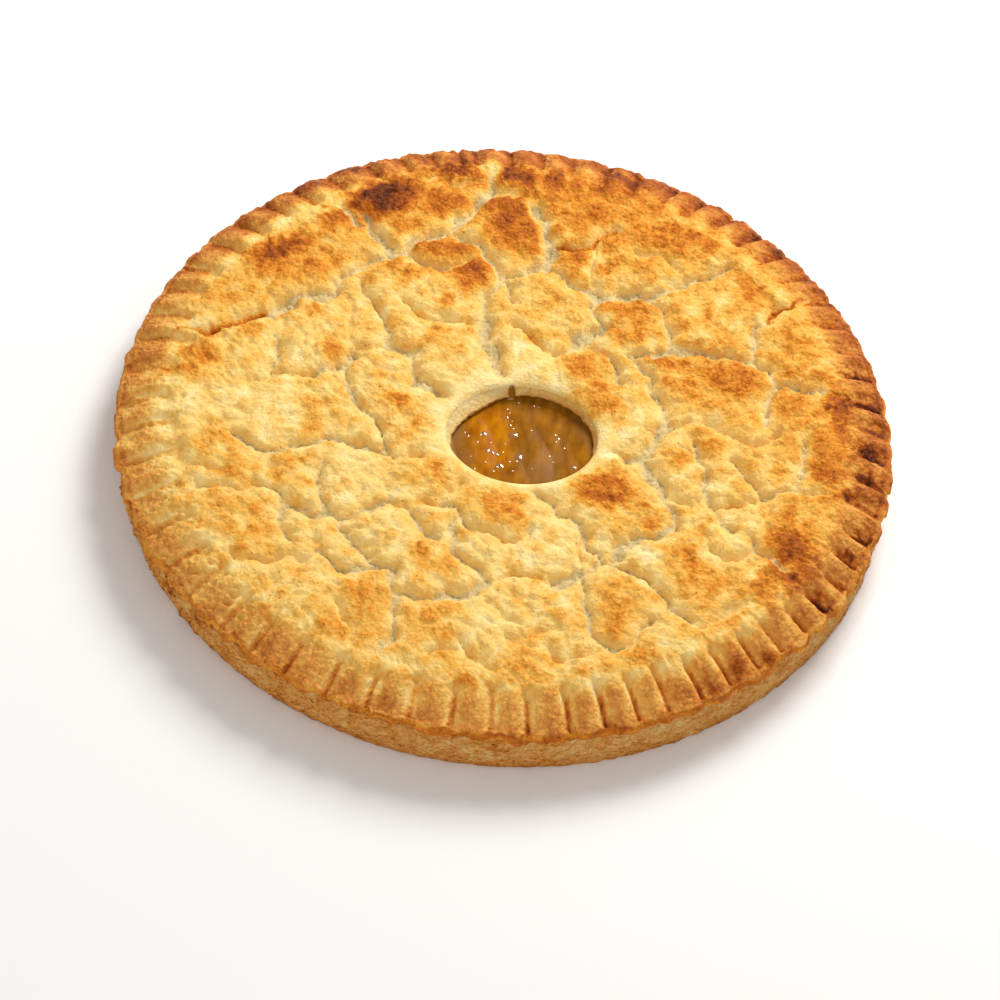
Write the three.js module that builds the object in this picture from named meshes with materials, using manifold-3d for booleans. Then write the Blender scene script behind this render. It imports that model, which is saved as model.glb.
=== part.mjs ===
// A round double-crust peach pie, baked whole and lifted out of its mould.
// The lid has split into pillowy plates, its rim is pressed into crimps, and an oval vent near
// the middle shows the fruit. Below the lid's torn lip the pastry case shows as a rough wall.
// Millimetres, +Z up, origin at the middle of the flat underside.

import * as THREE from 'three';
import { mergeVertices } from 'three/addons/utils/BufferGeometryUtils.js';
import Module from 'manifold-3d';

const { smoothstep, lerp, clamp, degToRad } = THREE.MathUtils;
const FULL_TURN = 2 * Math.PI;

// Driving dimensions of the whole pie.
const PIE_RADIUS = 120;
const CASE_HEIGHT = 11;
const PLATEAU_HEIGHT = 22;
const CLEARANCE = 0.3;
const MERGE_DISTANCE = 1e-4;

// The vent: an oval hole through the lid, a little right of and in front of the middle.
const VENT = { x: 5.5, y: -9.3, halfWidth: 22.7, halfDepth: 19.6, sag: 1.4, sagReach: 45 };

// The lid: its plateau ends at rimStart, falls over the crimps and ends in a thin torn lip.
const LID = { rimStart: 100, rimCurve: 1.6, underside: 15.6, underStep: 0.4 };
const LIP = { top: 14.6, thickness: 2.6, tear: 1.1, wave: 0.3, undercut: 0.3 };
const LID_SEAT = { outer: 118.6, inner: 105, rampEnd: 98 };
const LID_SPACING = 4.4;
const RIM_LOOPS = 5;

// Crimps: finger presses round the rim, deepest at the front right.
const CRIMP = {
  count: 66, phase: 3.98, deep: 1.9, shallow: 0.9, hardestAt: degToRad(-45),
  start: 101, full: 107, ridgeWidth: 0.6, samples: 4,
};
const CRIMP_DRIFT = [{ size: 0.8, turns: 5, phase: 0.7 }, { size: 0.5, turns: 11, phase: 2.1 }];
const LIP_NIBBLES = [{ size: 0.3, turns: 23, phase: 0.4 }, { size: 0.2, turns: 41, phase: 1.9 }];

// Plates: rounded pillows between cracks, fading out at the rim and round the vent.
const PILLOW = { height: 2.3, level: 0.72, roll: 3.4, fadeStart: 97, fadeEnd: 106, ventFade: 9 };
const WANDER_X = [
  { size: 1.3, perX: 0, perY: 0.164, phase: 1.1 },
  { size: 0.8, perX: 0.233, perY: 0.27, phase: 0 },
];
const WANDER_Y = [
  { size: 1.3, perX: 0.175, perY: 0, phase: 2.3 },
  { size: 0.8, perX: 0.256, perY: -0.217, phase: 0 },
];

// The pastry case under the lid, with a slightly bellied wall, and the filling inside it.
const CASE = { foot: 115.6, belly: 119.4, top: 117, floor: 4.5, cavityTop: 104, cavityFloor: 101 };
const CASE_SIDES = 132;
const CASE_WALL_STEPS = 4;
const WALL_WANDER = [
  { size: 0.35, turns: 31, lean: 1.3 },
  { size: 0.35, turns: 53, lean: -0.9 },
];
const FILLING = { top: 15.3, edge: 97.2, sides: 72, level: 14.2, poolSides: 48 };

// Peach slices set in the filling under the vent: middle, half sizes, turn and sideways bow.
const SLICES = [
  { name: 'peach_slice_left', x: -7.7, y: -9.6, halfLength: 18.0, halfWidth: 9.2, turn: 104, bow: 0.8 },
  { name: 'peach_slice_middle', x: 9.3, y: -11.8, halfLength: 19.0, halfWidth: 6.9, turn: 107, bow: -0.8 },
  { name: 'peach_slice_right', x: 24.0, y: -6.6, halfLength: 18.0, halfWidth: 6.6, turn: 110, bow: -1.6 },
];
const SLICE = { middle: 11, rise: 4.2, flatness: 0.5, around: 22, down: 12 };

// The plates that the lid split into while it baked. Each grows from a short spine, given by
// its two ends, and the cracks run where two neighbouring spines are equally near.
const PLATES = [
  // Back of the pie.
  [-45, 82, -22, 86], [-56, 68, -50, 62], [-24, 64, -14, 58], [-17, 74, -17, 74],
  [-4, 84, -1, 70], [-4, 101, -4, 99], [10, 99, 10, 96], [16, 86, 23, 80],
  [28, 101, 37, 100], [18, 62, 24, 56], [40, 62, 44, 60], [40, 76, 48, 76],
  [60, 80, 60, 72], [-3, 62, -2, 60], [8, 50, 14, 40], [-5, 46, -6, 43],
  [34, 44, 39, 36], [29, 32, 30, 32], [72, 56, 66, 54], [53, 50, 64, 38],
  // Left side.
  [-80, 52, -66, 56], [-93, 36, -80, 38], [-64, 31, -58, 31], [-46, 32, -45, 24],
  [-42, 48, -30, 44], [-20, 44, -15, 42], [-20, 28, -18, 18], [-40, 18, -36, 12],
  [-53, 21, -52, 19], [-64, 16, -62, 13], [-80, 24, -80, 12], [-97, 12, -97, 4],
  [-95, -8, -86, -8], [-73, -2, -71, -18], [-58, 2, -53, -12], [-32, 0, -30, -14],
  [-45, -27, -45, -40], [-26, -26, -22, -34], [-84, -22, -80, -33], [-62, -28, -59, -42],
  [-101, -36, -100, -38], [-88, -38, -86, -39], [-82, -48, -70, -58],
  // Right side.
  [86, 42, 90, 26], [86, 64, 80, 70], [55, 20, 70, 16], [93, 12, 93, 2],
  [74, 3, 75, 1], [80, -10, 84, -20], [100, -8, 98, -18], [64, -3, 60, -12],
  [52, -8, 55, -24], [66, -18, 71, -24], [70, -34, 77, -33], [66, -44, 73, -45],
  [89, -34, 88, -48], [33, -26, 40, -38], [40, -6, 40, -4], [33, 14, 40, 8],
  [25, 22, 25, 14], [0, 28, 8, 18],
  // Front of the pie.
  [-19, -45, -18, -46], [-1, -35, 2, -43], [16, -34, 22, -42], [-34, -48, -31, -58],
  [-58, -54, -57, -55], [-50, -58, -41, -64], [-75, -72, -58, -70], [-52, -78, -46, -88],
  [-35, -76, -35, -90], [-20, -58, -14, -66], [-22, -72, -18, -72], [-17, -82, -14, -94],
  [-3, -57, -2, -60], [12, -54, 20, -57], [28, -50, 29, -55], [8, -70, 20, -76],
  [0, -84, 2, -80], [36, -66, 36, -80], [52, -76, 54, -84], [26, -89, 28, -88],
  [14, -93, 14, -94], [55, -50, 62, -68], [45, -53, 44, -54], [78, -52, 79, -53],
  [79, -64, 80, -65],
];

// Sum of waves that run across the pie.
function planeWaves(waves, x, y) {
  return waves.reduce(
    (sum, { size, perX, perY, phase }) => sum + size * Math.sin(perX * x + perY * y + phase), 0);
}

// Sum of waves that run round the pie.
function roundWaves(waves, angle) {
  return waves.reduce((sum, { size, turns, phase }) => sum + size * Math.sin(turns * angle + phase), 0);
}

// Distance from a point to the straight spine between two ends.
function spineDistance(x, y, [x1, y1, x2, y2]) {
  const alongX = x2 - x1;
  const alongY = y2 - y1;
  const lengthSquared = alongX * alongX + alongY * alongY;
  const share = lengthSquared ? ((x - x1) * alongX + (y - y1) * alongY) / lengthSquared : 0;
  const held = clamp(share, 0, 1);
  return Math.hypot(x - x1 - held * alongX, y - y1 - held * alongY);
}

// How far a point lies from the nearest crack between two plates.
function crackDistance(x, y) {
  const wanderedX = x + planeWaves(WANDER_X, x, y);
  const wanderedY = y + planeWaves(WANDER_Y, x, y);
  let nearest = Infinity;
  let second = Infinity;
  for (const plate of PLATES) {
    const distance = spineDistance(wanderedX, wanderedY, plate);
    if (distance < nearest) {
      second = nearest;
      nearest = distance;
    } else if (distance < second) {
      second = distance;
    }
  }
  return (second - nearest) / 2;
}

// Distance outside the vent's edge, along the oval's mean radius.
function ventDistance(x, y) {
  const oval = Math.hypot((x - VENT.x) / VENT.halfWidth, (y - VENT.y) / VENT.halfDepth);
  return (oval - 1) * (VENT.halfWidth + VENT.halfDepth) / 2;
}

// Crimp ridges and grooves: up on a broad ridge, down in a narrow groove.
function crimpHeight(angle) {
  const swing = Math.cos(CRIMP.count * angle + CRIMP.phase + roundWaves(CRIMP_DRIFT, angle));
  const wave = 2 * Math.pow((1 + swing) / 2, CRIMP.ridgeWidth) - 1;
  const hardness = (1 + Math.cos(angle - CRIMP.hardestAt)) / 2;
  return wave * lerp(CRIMP.shallow, CRIMP.deep, hardness);
}

// Height of the lid's upper surface.
function lidTop(x, y) {
  const radius = Math.hypot(x, y);
  const outsideVent = Math.max(0, ventDistance(x, y));
  const sag = VENT.sag * Math.exp(-Math.pow(outsideVent / VENT.sagReach, 2));
  const fallShare = Math.max(0, (radius - LID.rimStart) / (PIE_RADIUS - LID.rimStart));
  const fall = (PLATEAU_HEIGHT - LIP.top) * Math.pow(fallShare, LID.rimCurve);
  const pillow = 1 - Math.exp(-crackDistance(x, y) / PILLOW.roll) - PILLOW.level;
  const plateFade = 1 - smoothstep(radius, PILLOW.fadeStart, PILLOW.fadeEnd);
  const relief = PILLOW.height * pillow * plateFade * smoothstep(outsideVent, 0, PILLOW.ventFade);
  const crimp = crimpHeight(Math.atan2(y, x)) * smoothstep(radius, CRIMP.start, CRIMP.full);
  return PLATEAU_HEIGHT - sag - fall + relief + crimp;
}

// Radius of the torn lip: it meets the full radius on both axes and is nibbled in between.
function lipRadius(angle) {
  const nibble = 0.5 + roundWaves(LIP_NIBBLES, angle);
  return PIE_RADIUS - LIP.tear * nibble * Math.pow(Math.sin(2 * angle), 2);
}

// Height of the lid's underside: a flat seat on the case, a ramp and a flat ceiling.
function lidUnderside(radius) {
  const rampShare = (LID_SEAT.inner - radius) / (LID_SEAT.inner - LID_SEAT.rampEnd);
  return lerp(CASE_HEIGHT + CLEARANCE, LID.underside, clamp(rampShare, 0, 1));
}

// Oval loop part of the way from the vent's edge (0) to the circle where the rim starts (1).
function plateauLoop(share, heightAt) {
  const halfWidth = lerp(VENT.halfWidth, LID.rimStart, share);
  const halfDepth = lerp(VENT.halfDepth, LID.rimStart, share);
  const middle = new THREE.Vector2(VENT.x, VENT.y).multiplyScalar(1 - share);
  const oval = new THREE.EllipseCurve(middle.x, middle.y, halfWidth, halfDepth);
  const count = Math.round(FULL_TURN * (halfWidth + halfDepth) / 2 / LID_SPACING);
  return oval.getPoints(count).slice(0, count)
    .map(({ x, y }) => new THREE.Vector3(x, y, heightAt(x, y)));
}

// Loop round the pie's middle whose radius and height may change with the angle.
function rimLoop(count, radiusAt, heightAt) {
  return Array.from({ length: count }, (_, index) => {
    const angle = index * FULL_TURN / count;
    const radius = radiusAt(angle);
    const x = radius * Math.cos(angle);
    const y = radius * Math.sin(angle);
    return new THREE.Vector3(x, y, heightAt(x, y));
  });
}

// Triangles between two loops with different point counts, facing away from the solid when
// the loops follow its section anticlockwise.
function stitch(triangles, first, second) {
  let inFirst = 0;
  let inSecond = 0;
  const firstAt = (index) => first.start + index % first.count;
  const secondAt = (index) => second.start + index % second.count;
  while (inFirst < first.count || inSecond < second.count) {
    const firstIsNext = (inFirst + 1) / first.count <= (inSecond + 1) / second.count;
    if (firstIsNext) {
      triangles.push(firstAt(inFirst), secondAt(inSecond), firstAt(inFirst + 1));
      inFirst += 1;
    } else {
      triangles.push(firstAt(inFirst), secondAt(inSecond), secondAt(inSecond + 1));
      inSecond += 1;
    }
  }
}

// Closed ring-shaped solid through a series of loops, the last joined to the first.
function ringSolid(loops) {
  const positions = [];
  const triangles = [];
  const spans = loops.map((loop) => {
    const span = { start: positions.length / 3, count: loop.length };
    loop.forEach((point) => positions.push(point.x, point.y, point.z));
    return span;
  });
  spans.forEach((span, index) => stitch(triangles, span, spans[(index + 1) % spans.length]));
  const geometry = new THREE.BufferGeometry();
  geometry.setAttribute('position', new THREE.Float32BufferAttribute(positions, 3));
  geometry.setIndex(triangles);
  return geometry;
}

// Stands a geometry up from +Y to +Z and joins its shared points into one closed skin.
function closedUpright(geometry) {
  geometry.deleteAttribute('normal');
  geometry.deleteAttribute('uv');
  geometry.rotateX(Math.PI / 2);
  const merged = mergeVertices(geometry, MERGE_DISTANCE);
  const corners = Array.from(merged.getIndex().array);
  const triangles = [];
  for (let start = 0; start < corners.length; start += 3) {
    const triangle = corners.slice(start, start + 3);
    if (new Set(triangle).size === 3) {
      triangles.push(...triangle);
    }
  }
  merged.setIndex(triangles);
  return merged;
}

// Solid of revolution about Z from a profile of Vector2 (radius, height) that ends on the axis.
function turnedSolid(profile, sides) {
  return closedUpright(new THREE.LatheGeometry(profile, sides));
}

// Moves every point of a geometry by a rule that changes the vector in place.
function reshape(geometry, change) {
  const positions = geometry.getAttribute('position');
  const point = new THREE.Vector3();
  for (let index = 0; index < positions.count; index += 1) {
    point.fromBufferAttribute(positions, index);
    change(point);
    positions.setXYZ(index, point.x, point.y, point.z);
  }
  return geometry;
}

// The lid with its plates, crimps, torn lip and vent.
function topCrust() {
  const plateauSteps = Math.round((LID.rimStart - VENT.halfDepth) / LID_SPACING);
  const rimPoints = CRIMP.count * CRIMP.samples;
  const rimEnd = LID_SEAT.outer - LIP.tear;
  const lipTop = (x, y) => LIP.top + LIP.wave * crimpHeight(Math.atan2(y, x));
  const lipBottom = (x, y) => lipTop(x, y) - LIP.thickness;
  const loops = [];
  for (let step = 0; step <= plateauSteps; step += 1) {
    loops.push(plateauLoop(step / plateauSteps, lidTop));
  }
  for (let step = 1; step <= RIM_LOOPS; step += 1) {
    const radius = lerp(LID.rimStart, rimEnd, step / RIM_LOOPS);
    loops.push(rimLoop(rimPoints, () => radius, lidTop));
  }
  loops.push(rimLoop(rimPoints, lipRadius, lipTop));
  loops.push(rimLoop(rimPoints, (angle) => lipRadius(angle) - LIP.undercut, lipBottom));
  for (const radius of [LID_SEAT.outer, LID_SEAT.inner, LID_SEAT.rampEnd]) {
    loops.push(rimLoop(CRIMP.count, () => radius, () => lidUnderside(radius)));
  }
  loops.push(plateauLoop(LID.underStep, () => LID.underside));
  loops.push(plateauLoop(0, () => LID.underside));
  return ringSolid(loops);
}

// The pastry case: a shallow cup with a flat foot and a rough, slightly bellied wall.
function bottomCrust() {
  const wall = new THREE.QuadraticBezierCurve(
    new THREE.Vector2(CASE.foot, 0),
    new THREE.Vector2(CASE.belly, CASE_HEIGHT / 2),
    new THREE.Vector2(CASE.top, CASE_HEIGHT));
  const geometry = turnedSolid([
    new THREE.Vector2(0, 0),
    ...wall.getPoints(CASE_WALL_STEPS),
    new THREE.Vector2(CASE.cavityTop, CASE_HEIGHT),
    new THREE.Vector2(CASE.cavityFloor, CASE.floor),
    new THREE.Vector2(0, CASE.floor),
  ], CASE_SIDES);
  return reshape(geometry, (point) => {
    const radius = Math.hypot(point.x, point.y);
    if (radius < (CASE.cavityTop + CASE.foot) / 2) {
      return;
    }
    const angle = Math.atan2(point.y, point.x);
    const wander = WALL_WANDER.reduce(
      (sum, { size, turns, lean }) => sum + size * Math.sin(turns * angle + lean * point.z), 0);
    point.x *= 1 + wander / radius;
    point.y *= 1 + wander / radius;
  });
}

// A peach slice: a flat-topped, rounded oval solid, bowed sideways like a crescent.
function peachSlice({ x, y, halfLength, halfWidth, turn, bow }, swell) {
  const slice = closedUpright(new THREE.SphereGeometry(1, SLICE.around, SLICE.down));
  reshape(slice, (point) => {
    const bowed = bow * (1 - point.x * point.x);
    point.x *= halfLength + swell;
    point.y = point.y * (halfWidth + swell) + bowed;
    point.z = Math.sign(point.z) * Math.pow(Math.abs(point.z), SLICE.flatness) * (SLICE.rise + swell);
  });
  slice.rotateZ(degToRad(turn));
  slice.translate(x, y, SLICE.middle);
  return slice;
}

// Closed solid for cutting, from a geometry with merged points.
function toSolid(geometry) {
  return new wasm.Manifold(new wasm.Mesh({
    numProp: 3,
    vertProperties: new Float32Array(geometry.getAttribute('position').array),
    triVerts: new Uint32Array(geometry.getIndex().array),
  }));
}

// Geometry from a cut solid.
function toGeometry(solid) {
  const { vertProperties, triVerts } = solid.getMesh();
  const geometry = new THREE.BufferGeometry();
  geometry.setAttribute('position', new THREE.BufferAttribute(vertProperties, 3));
  geometry.setIndex(new THREE.BufferAttribute(triVerts, 1));
  return geometry;
}

// The filling: it fills the case up to the lid, stands lower under the vent and is hollowed
// where the slices lie.
function filling() {
  const body = turnedSolid([
    new THREE.Vector2(0, CASE.floor + CLEARANCE),
    new THREE.Vector2(CASE.cavityFloor - CLEARANCE, CASE.floor + CLEARANCE),
    new THREE.Vector2(CASE.cavityTop - CLEARANCE, CASE_HEIGHT - CLEARANCE),
    new THREE.Vector2(FILLING.edge, FILLING.top),
    new THREE.Vector2(0, FILLING.top),
  ], FILLING.sides);
  const poolDepth = 2 * (FILLING.top - FILLING.level);
  const pool = closedUpright(new THREE.CylinderGeometry(1, 1, poolDepth, FILLING.poolSides));
  pool.scale(VENT.halfWidth, VENT.halfDepth, 1);
  pool.translate(VENT.x, VENT.y, FILLING.top);
  const cutters = [pool, ...SLICES.map((slice) => peachSlice(slice, CLEARANCE))];
  return toGeometry(cutters.reduce((solid, cutter) => solid.subtract(toSolid(cutter)), toSolid(body)));
}

// A named mesh with its own material.
function piece(name, geometry, color, roughness) {
  const material = new THREE.MeshStandardMaterial({ color, roughness, metalness: 0 });
  const mesh = new THREE.Mesh(geometry, material);
  mesh.name = name;
  return mesh;
}

const wasm = await Module();
wasm.setup();

const pie = new THREE.Group();
pie.add(piece('bottom_crust', bottomCrust(), '#cf9e58', 0.85));
pie.add(piece('filling', filling(), '#b0741c', 0.25));
for (const slice of SLICES) {
  pie.add(piece(slice.name, peachSlice(slice, 0), '#c98a2c', 0.3));
}
pie.add(piece('top_crust', topCrust(), '#e6bd72', 0.75));

export default pie;
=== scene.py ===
"""Dresses a whole peach pie: a cracked golden lid with a crimped rim, a rough case and wet fruit.

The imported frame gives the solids. Each visible surface is modelled again here as a fine mesh in the
same place. Shapes are worked out in millimetres and become metres when a mesh is made.
"""

from __future__ import annotations

import logging
import math
from collections.abc import Mapping, Sequence
from dataclasses import dataclass, field
from enum import Enum
from functools import cached_property

import bpy
import numpy as np
from mathutils import Matrix, Vector

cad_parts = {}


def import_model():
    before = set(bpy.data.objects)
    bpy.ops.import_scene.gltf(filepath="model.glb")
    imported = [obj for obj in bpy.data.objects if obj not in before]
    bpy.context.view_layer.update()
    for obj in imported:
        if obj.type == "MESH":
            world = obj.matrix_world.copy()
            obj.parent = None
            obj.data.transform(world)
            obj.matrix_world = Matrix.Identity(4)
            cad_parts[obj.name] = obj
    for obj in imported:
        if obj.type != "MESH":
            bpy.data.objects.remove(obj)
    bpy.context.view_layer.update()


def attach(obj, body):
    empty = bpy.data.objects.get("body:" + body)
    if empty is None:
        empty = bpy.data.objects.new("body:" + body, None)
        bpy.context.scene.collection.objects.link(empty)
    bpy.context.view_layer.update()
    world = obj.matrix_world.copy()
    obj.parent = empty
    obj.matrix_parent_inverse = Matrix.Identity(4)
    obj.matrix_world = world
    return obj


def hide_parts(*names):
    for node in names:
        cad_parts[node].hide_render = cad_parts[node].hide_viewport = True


LOG = logging.getLogger("peach_pie")
ROOT_BODY = "root"
MM = 0.001
FULL_TURN = 2.0 * math.pi
# Whole repeats of the hills that fit round the rim.
RIM_REPEATS = 3

Array = np.ndarray
Tree = bpy.types.NodeTree
Piece = bpy.types.Object
Material = bpy.types.Material
Node = bpy.types.Node
Socket = bpy.types.NodeSocket
# Two numbers that belong together: the start and end of a change, or the middle and width of a bell.
Span = tuple[float, float]


class Slot(Enum):
    """The record's material slots."""

    LID = "pastry_lid"
    CASE = "pastry_case"
    FILLING = "fruit_filling"
    FLESH = "peach_flesh"


class Bake(Enum):
    """How far a plate of the lid has browned, from 0, pale, to 1, burnt."""

    PALE = 0.08
    CREAM = 0.15
    STRAW = 0.22
    GOLDEN = 0.31
    AMBER = 0.41
    BROWN = 0.52


class Split(Enum):
    """How a crack has opened: half its floor's width in millimetres, and its share of the full depth."""

    FOLD = (0.0, 0.5)
    HAIR = (0.1, 0.8)
    SEAM = (0.4, 0.95)
    GAPE = (1.1, 1.05)
    # A crack whose floor line is painted dark brown as shadow.
    DARK = (0.2, 1.05)


def to_linear(hex_colour: str) -> tuple[float, float, float, float]:
    """Turns an sRGB hex colour into linear light.

    Args:
        hex_colour: Colour as "#rrggbb".

    Returns:
        Linear red, green, blue and an alpha of 1.
    """
    channels = [int(hex_colour[start:start + 2], 16) / 255.0 for start in (1, 3, 5)]
    red, green, blue = (
        value / 12.92 if value <= 0.04045 else ((value + 0.055) / 1.055) ** 2.4
        for value in channels
    )
    return red, green, blue, 1.0


def smooth_between(low: float, high: float, values: Array) -> Array:
    """Eases values from 0 at low to 1 at high."""
    share = np.clip((values - low) / (high - low), 0.0, 1.0)
    return share * share * (3.0 - 2.0 * share)


def bell(values: Array, middle: Array | float, width: Array | float) -> Array:
    """Bell curve of height 1 round its middle, about a third as high at its width."""
    return np.exp(-(((values - middle) / width) ** 2))


def turned_back(angle: Array) -> Array:
    """Turns angles back to lie within half a turn of zero."""
    return np.angle(np.exp(1j * angle))


def even_angles(count: int) -> Array:
    """Angles at even steps round a full turn."""
    return np.arange(count) * FULL_TURN / count


def read_round(table: Sequence[tuple[float, ...]], angle: Array, column: int = 1) -> Array:
    """Reads a table of angles in degrees and the values there."""
    columns = np.array(table).T
    return np.interp(np.degrees(angle), columns[0], columns[column])


def ring(angle: Array, radius: Array | float, height: Array | float) -> Array:
    """Points round the pie at a radius and height."""
    height = np.broadcast_to(height, angle.shape)
    return np.stack([radius * np.cos(angle), radius * np.sin(angle), height], axis=1)


def off_segment(x: Array, y: Array, start: Span, end: Span) -> tuple[Array, Array]:
    """Works out how far places lie from a segment.

    Args:
        x: Places across the pie.
        y: Places along the pie.
        start: First end of the segment.
        end: Its other end, which may be the same.

    Returns:
        Offsets across and along from the nearest point of the segment.
    """
    run_x, run_y = end[0] - start[0], end[1] - start[1]
    run = run_x ** 2 + run_y ** 2
    off_x, off_y = x - start[0], y - start[1]
    share = np.clip((off_x * run_x + off_y * run_y) / run, 0.0, 1.0) if run else 0.0
    return off_x - share * run_x, off_y - share * run_y


def add_node(
    tree: Tree,
    kind: str,
    inputs: Mapping[str | int, object] | None = None,
    settings: Mapping[str, object] | None = None,
    stops: Sequence[tuple[float, str]] = (),
) -> Node:
    """Adds one shader node with its settings, values and links.

    Args:
        tree: Node tree that takes the node.
        kind: Blender's name for the shader node's type, without its prefix.
        inputs: Value for each input, by name or place, or a socket to link, or a node whose first
            output is linked.
        settings: Node properties to set.
        stops: Places and hex colours of a colour ramp.

    Returns:
        The new node.
    """
    node = tree.nodes.new("ShaderNode" + kind)
    for name, value in (settings or {}).items():
        setattr(node, name, value)
    if stops:
        ramp = node.color_ramp
        while len(ramp.elements) < len(stops):
            ramp.elements.new(1.0)
        for element, (place, colour) in zip(ramp.elements, stops):
            element.position = place
            element.color = to_linear(colour)
    for name, value in (inputs or {}).items():
        source = value.outputs[0] if isinstance(value, Node) else value
        if isinstance(source, Socket):
            tree.links.new(source, node.inputs[name])
        else:
            node.inputs[name].default_value = source
    return node


def new_material(name: str) -> tuple[Material, Tree]:
    """Makes a material with an empty node tree.

    Args:
        name: Name of the material.

    Returns:
        The material and its node tree.
    """
    material = bpy.data.materials.new(name)
    material.use_nodes = True
    material.node_tree.nodes.clear()
    return material, material.node_tree


def grain(size_mm: float) -> float:
    """Noise scale that gives grains of a real size."""
    return 1.0 / (size_mm * MM)


class Hills:
    """Seeded smooth hills of one spacing on a repeating square, about one unit high."""

    SPAN_MM = 256.0
    CELLS_PER_HILL = 5.0
    MOST_CELLS = 1280
    BAND_WIDTH = 0.45

    def __init__(self, spacing_mm: float, seed: int) -> None:
        """Makes the hills.

        Args:
            spacing_mm: Distance from hill to hill.
            seed: Seed of the random draw.
        """
        cells = min(self.MOST_CELLS, int(self.SPAN_MM / spacing_mm * self.CELLS_PER_HILL))
        frequency = np.fft.fftfreq(cells, d=self.SPAN_MM / cells)
        radius = np.hypot(frequency[:, None], frequency[None, :]) * spacing_mm
        draw = np.random.default_rng(seed).standard_normal((cells, cells))
        heights = np.fft.ifft2(np.fft.fft2(draw) * bell(radius, 1.0, self.BAND_WIDTH)).real
        self.heights = heights / heights.std()
        self.cells_per_mm = cells / self.SPAN_MM

    @classmethod
    def several(cls, first_seed: int, **spacings_mm: float) -> dict[str, Hills]:
        """Makes hills of several spacings, by name, each with the next seed."""
        pairs = enumerate(spacings_mm.items(), start=first_seed)
        return {name: cls(spacing_mm, seed) for seed, (name, spacing_mm) in pairs}

    @classmethod
    def length_round(cls, angle: Array, repeats: int) -> Array:
        """Length round the pie that closes on whole repeats of the hills."""
        return angle * repeats * cls.SPAN_MM / FULL_TURN

    def at(self, x: Array, y: Array | float) -> Array:
        """Reads the hills.

        Args:
            x: Places along the first side, in millimetres.
            y: Places along the second side, in millimetres.

        Returns:
            Height at each place.
        """
        cells = len(self.heights)
        across = np.asarray(x) * self.cells_per_mm
        along = np.asarray(y) * self.cells_per_mm
        column = np.floor(across).astype(int)
        row = np.floor(along).astype(int)
        part_x = across - column
        part_y = along - row
        left, right = column % cells, (column + 1) % cells
        low, high = row % cells, (row + 1) % cells
        near = self.heights[left, low] * (1 - part_x) + self.heights[right, low] * part_x
        far = self.heights[left, high] * (1 - part_x) + self.heights[right, high] * part_x
        return near * (1 - part_y) + far * part_y

    def lobes(self, x: Array, y: Array, cut: float) -> Array:
        """Reads the hills as round lobes, cut off at a height, with creases between them."""
        return np.minimum(np.abs(self.at(x, y)), cut) - 0.5 * cut


def new_piece(name: str, points: Array, faces: Array) -> Piece:
    """Makes a smooth mesh object.

    Args:
        name: Name of the piece.
        points: Its points, one row each, in millimetres.
        faces: Three point indices a row.

    Returns:
        The object, linked to the scene.
    """
    mesh = bpy.data.meshes.new(name)
    mesh.from_pydata((points * MM).tolist(), [], faces.tolist())
    mesh.shade_smooth()
    piece = bpy.data.objects.new(name, mesh)
    bpy.context.scene.collection.objects.link(piece)
    return piece


@dataclass
class LoopSkin:
    """A skin sewn from loops of points, where each loop may have its own number of points."""

    loops: list[Array] = field(default_factory=list)
    marks: dict[str, list[Array]] = field(default_factory=dict)

    def add(self, points: Array, **marks: Array | float) -> None:
        """Adds the next loop.

        Args:
            points: Points of the loop, one row each, in millimetres.
            marks: Surface values of the points, by name.
        """
        self.loops.append(points)
        for name, values in marks.items():
            spread = np.broadcast_to(np.asarray(values, dtype=float), (len(points),))
            self.marks.setdefault(name, []).append(spread)

    @staticmethod
    def sew(first_start: int, first_count: int, second_start: int, second_count: int) -> Array:
        """Joins two loops with triangles that face out when the loops follow the section.

        Args:
            first_start: Index of the first loop's first point.
            first_count: Number of points in the first loop.
            second_start: Index of the second loop's first point.
            second_count: Number of points in the second loop.

        Returns:
            Three point indices a row.
        """
        first_steps = (np.arange(first_count) + 1.0) / first_count
        second_steps = (np.arange(second_count) + 1.0) / second_count
        order = np.argsort(np.concatenate([first_steps, second_steps]), kind="stable")
        on_first = order < first_count
        first_done = np.cumsum(on_first) - on_first
        second_done = np.cumsum(~on_first) - ~on_first
        first_next = first_start + (first_done + 1) % first_count
        second_next = second_start + (second_done + 1) % second_count
        return np.stack([
            first_start + first_done % first_count,
            second_start + second_done % second_count,
            np.where(on_first, first_next, second_next),
        ], axis=1)

    def triangles(self, closed: bool) -> Array:
        """Sews every loop to the next.

        Args:
            closed: Whether the last loop is sewn to the first.

        Returns:
            Three point indices a row.
        """
        counts = [len(loop) for loop in self.loops]
        starts = np.concatenate([[0], np.cumsum(counts)[:-1]]).astype(int)
        pairs = list(zip(range(len(counts) - 1), range(1, len(counts))))
        if closed:
            pairs.append((len(counts) - 1, 0))
        sewn = np.concatenate([
            self.sew(starts[a], counts[a], starts[b], counts[b]) for a, b in pairs
        ])
        whole = (sewn[:, 0] != sewn[:, 1]) & (sewn[:, 1] != sewn[:, 2]) & (sewn[:, 2] != sewn[:, 0])
        return sewn[whole]

    def to_object(self, name: str, closed: bool) -> Piece:
        """Makes an object of the skin, with its marks as attributes of the points.

        Args:
            name: Name of the piece.
            closed: Whether the last loop is sewn to the first.

        Returns:
            The object, linked to the scene.
        """
        piece = new_piece(name, np.concatenate(self.loops), self.triangles(closed))
        for mark, values in self.marks.items():
            layer = piece.data.attributes.new(mark, "FLOAT", "POINT")
            layer.data.foreach_set("value", np.concatenate(values).astype(np.float32))
        return piece


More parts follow.
